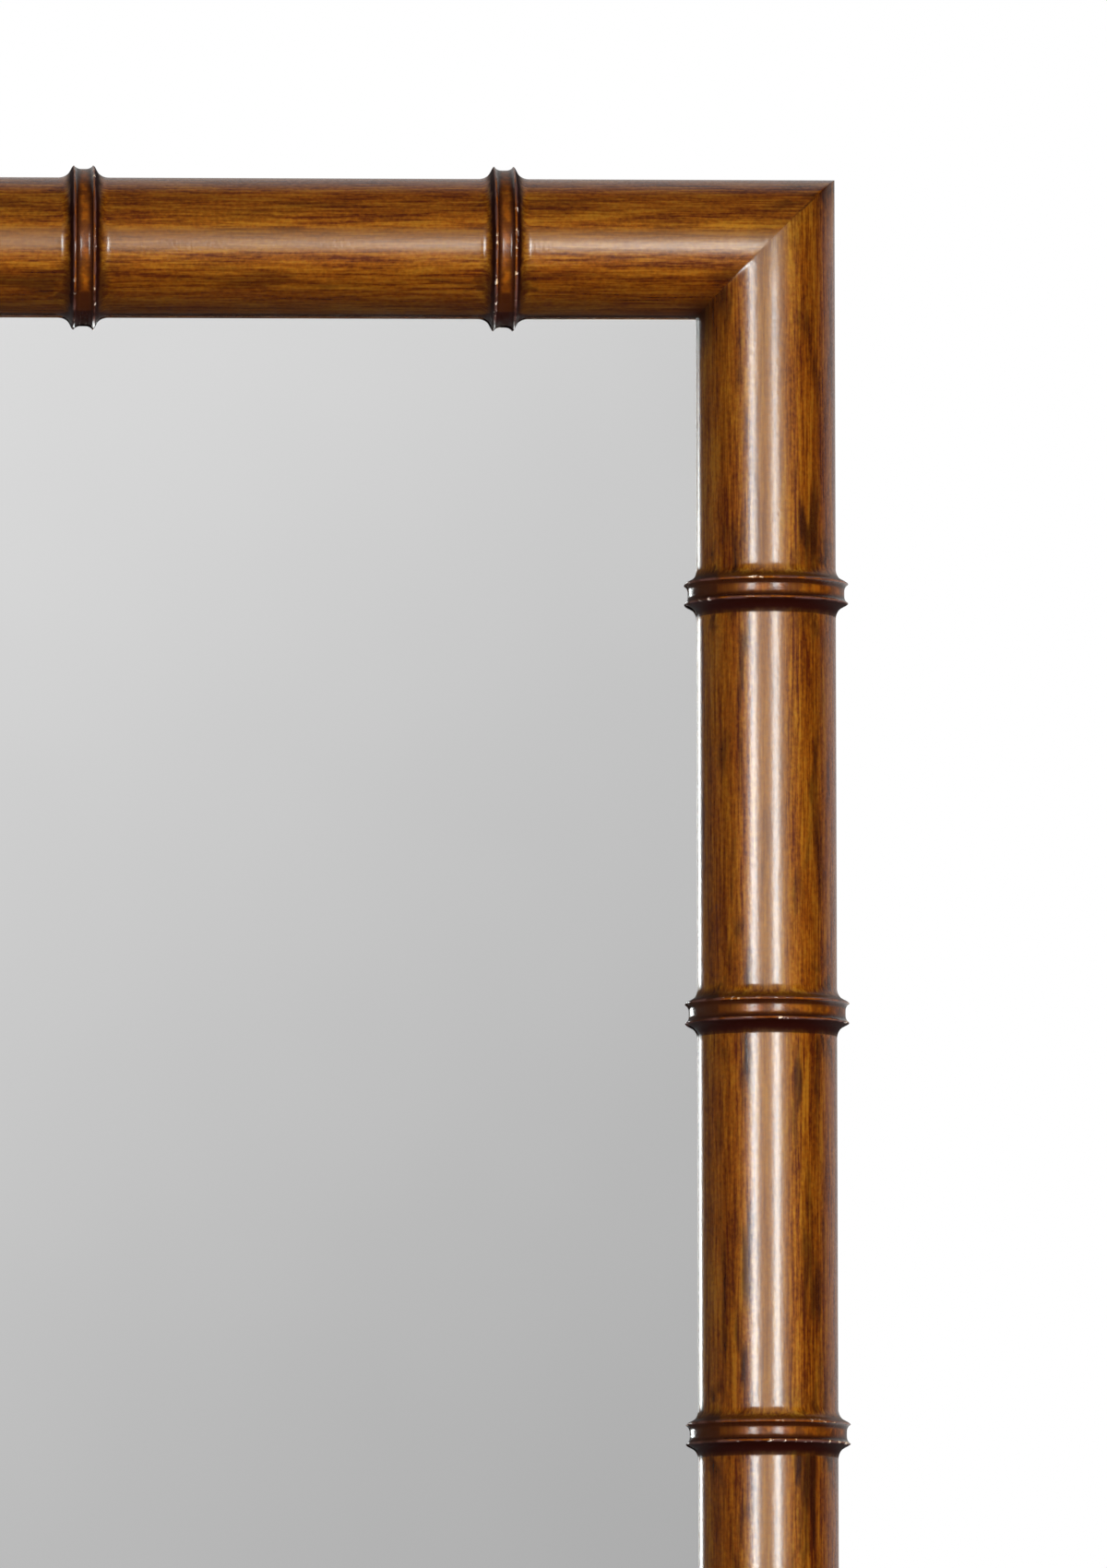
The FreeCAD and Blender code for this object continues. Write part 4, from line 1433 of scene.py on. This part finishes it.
def pale_studio_floor():
    """Matt painted studio floor: pale to the lens, the mirror and the metal on the rear."""
    material = speckled("pale_studio_floor", ("#d9d9d7", "#dededc"), 40.0, 0.75, depth=0.0)
    tree = material.node_tree
    make = partial(step, tree)
    rays = add(tree, "ShaderNodeLightPath").outputs
    place = add(tree, "ShaderNodeTexCoord").outputs["Object"]
    depth = add(tree, "ShaderNodeSeparateXYZ", {0: place}).outputs["Y"]
    behind = make("slope", depth, 0.0, 0.5)
    # It glows straight to the lens, by way of the mirror alone, and to metal from behind.
    once = make("below", rays["Glossy Depth"], 1.5)
    mirrored = make("product", rays["Is Singular Ray"], once)
    by_metal = make("product", rays["Is Glossy Ray"], behind)
    seen = make("largest", rays["Is Camera Ray"], mirrored, by_metal)
    glow = add(tree, "ShaderNodeEmission", {"Strength": make("product", seen, 0.5)}).outputs[0]
    shader = tree.nodes["Principled BSDF"]
    paint = shader.inputs["Base Color"].links[0].from_socket
    # Lacquer would show the floor in front as a grey haze, so to its rays it is nearly black.
    hazy = make("product", rays["Is Glossy Ray"], make("less", 1.0, mirrored), make("less", 1.0, behind))
    shade = make("blend", hazy, paint, linear("#1c1c1c"))
    feed(tree, shader, {"Base Color": shade, "Specular IOR Level": 0.0})
    both = add(tree, "ShaderNodeAddShader", {0: shader.outputs[0], 1: glow}).outputs[0]
    tree.links.new(both, tree.nodes["Material Output"].inputs["Surface"])
    return material


def lamp(name, place, aim, size, power, colour="#ffffff", gloss=True):
    """A soft rectangular lamp, hidden from the lens, that gloss shows or doesn't show."""
    data = bpy.data.lights.new(name, "AREA")
    data.shape, data.size, data.size_y = "RECTANGLE", *size
    data.energy, data.spread, data.color = power, math.radians(LAMP_SPREAD), linear(colour)[:3]
    obj = link(bpy.data.objects.new(name, data))
    obj.location = place
    obj.rotation_euler = (Vector(aim) - Vector(place)).to_track_quat("-Z", "Y").to_euler()
    obj.visible_camera, obj.visible_glossy = False, gloss
    return obj


class MIRROR_OT_studio(bpy.types.Operator):
    """Set up the floor, the lamps, the backdrop and the camera"""

    bl_idname = "mirror.studio"
    bl_label = "Studio"

    def execute(self, context):
        settings = context.scene.mirror_studio
        backdrop_world()
        self.lay_floor()
        self.hang_lamps(settings)
        context.scene.camera = self.set_camera(settings)
        context.scene.view_settings.view_transform = "Standard"
        return {"FINISHED"}

    def lay_floor(self):
        """A pale matt floor just below the mirror."""
        mesh = bpy.data.meshes.new("studio_floor")
        corners = ((-1, -1), (1, -1), (1, 1), (-1, 1))
        level = CAD_BOX[0].z - FLOOR_GAP
        mesh.from_pydata([(x * FLOOR_HALF, y * FLOOR_HALF, level) for x, y in corners], [], [(0, 1, 2, 3)])
        floor = link(bpy.data.objects.new("studio_floor", mesh))
        mesh.materials.append(pale_studio_floor())
        floor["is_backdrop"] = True

    def hang_lamps(self, settings):
        """Two tall strips for the side rail, and lamps for its flanks, the rear and the top rail."""
        for name, turn, width, height in (
            ("strip_left", -25.0, 0.36, 0.34),
            ("strip_right", 11.5, 0.34, 0.29),
        ):
            angle = math.radians(turn)
            place = (
                SHOWN_X + STRIP_DISTANCE * math.sin(angle), -STRIP_DISTANCE * math.cos(angle), height
            )
            aim, size = (SHOWN_X, 0, SHOWN_Z), (width, STRIP_HEIGHT)
            lamp(name, place, aim, size, settings.strip_power, "#f5feff")
        lamp(
            "fill", (0.85, -1.4, -0.4), (0.25, 0, 0.35), (1.2, 0.12), settings.fill_power, gloss=False
        )
        lamp("rear_fill", (-1.2, 2.6, 1.5), (0, 0, 0), (1.4, 1.0), settings.rear_power, gloss=False)
        # A small lamp for the top rail alone, which draws the bar of light along its crown.
        sheen = lamp(
            "top_sheen", (0.5, -3.0, 0.373), (0.2, 0, 0.443), (0.26, 0.58), settings.sheen_power, "#fff3e0"
        )
        lit = bpy.data.collections.new("lit_by_top_sheen")
        lit.objects.link(bpy.data.objects["top_half_round"])
        sheen.light_linking.receiver_collection = lit

    def set_camera(self, settings):
        """The camera, with its long side as wide as a sheet of 36 mm film."""
        camera = link(bpy.data.objects.new("camera", bpy.data.cameras.new("camera")))
        camera.data.sensor_width = 36.0
        camera.data.lens = settings.focal_length
        camera.data.clip_start, camera.data.clip_end = 0.1, 200.0
        camera.location = settings.camera_place
        camera.rotation_euler = (
            Matrix.Rotation(-settings.camera_pan, 3, "Z")
            @ Matrix.Rotation(math.pi / 2 + settings.camera_tilt, 3, "X")
            @ Matrix.Rotation(settings.camera_roll, 3, "Z")
        ).to_euler()
        return camera


class MIRROR_PT_pieces(bpy.types.Panel):
    """Lists what makes the mirror, in order"""

    bl_idname = "MIRROR_PT_pieces"
    bl_label = "Wall mirror"
    bl_space_type = "VIEW_3D"
    bl_region_type = "UI"
    bl_category = "Mirror"

    def draw(self, context):
        for operator in OPERATORS:
            self.layout.operator(operator.bl_idname)
        for name, group in GROUPS.items():
            box = self.layout.box()
            box.label(text=group.__doc__)
            for prop in group.__annotations__:
                box.prop(getattr(context.scene, name), prop)


OPERATORS = (
    MIRROR_OT_turnings,
    MIRROR_OT_backing_frame,
    MIRROR_OT_turn_buttons,
    MIRROR_OT_hangers,
    MIRROR_OT_fixings,
    MIRROR_OT_studio,
)
CLASSES = (*GROUPS.values(), *OPERATORS, MIRROR_PT_pieces)


def register():
    """Registers the classes and hangs their settings on the scene."""
    for cls in CLASSES:
        bpy.utils.register_class(cls)
    for name, group in GROUPS.items():
        setattr(bpy.types.Scene, name, PointerProperty(type=group))


def unregister():
    """Takes away what register added."""
    for name in GROUPS:
        delattr(bpy.types.Scene, name)
    for cls in reversed(CLASSES):
        bpy.utils.unregister_class(cls)


def main():
    """Makes everything and works out the two boxes."""
    register()
    bpy.ops.mirror.turnings()
    bpy.ops.mirror.backing_frame()
    bpy.ops.mirror.turn_buttons()
    bpy.ops.mirror.hangers()
    bpy.ops.mirror.fixings()
    bpy.ops.mirror.studio()
    boxes = [[list(corner) for corner in box] for box in (CAD_BOX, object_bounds())]


if __name__ == "__main__":
    main()
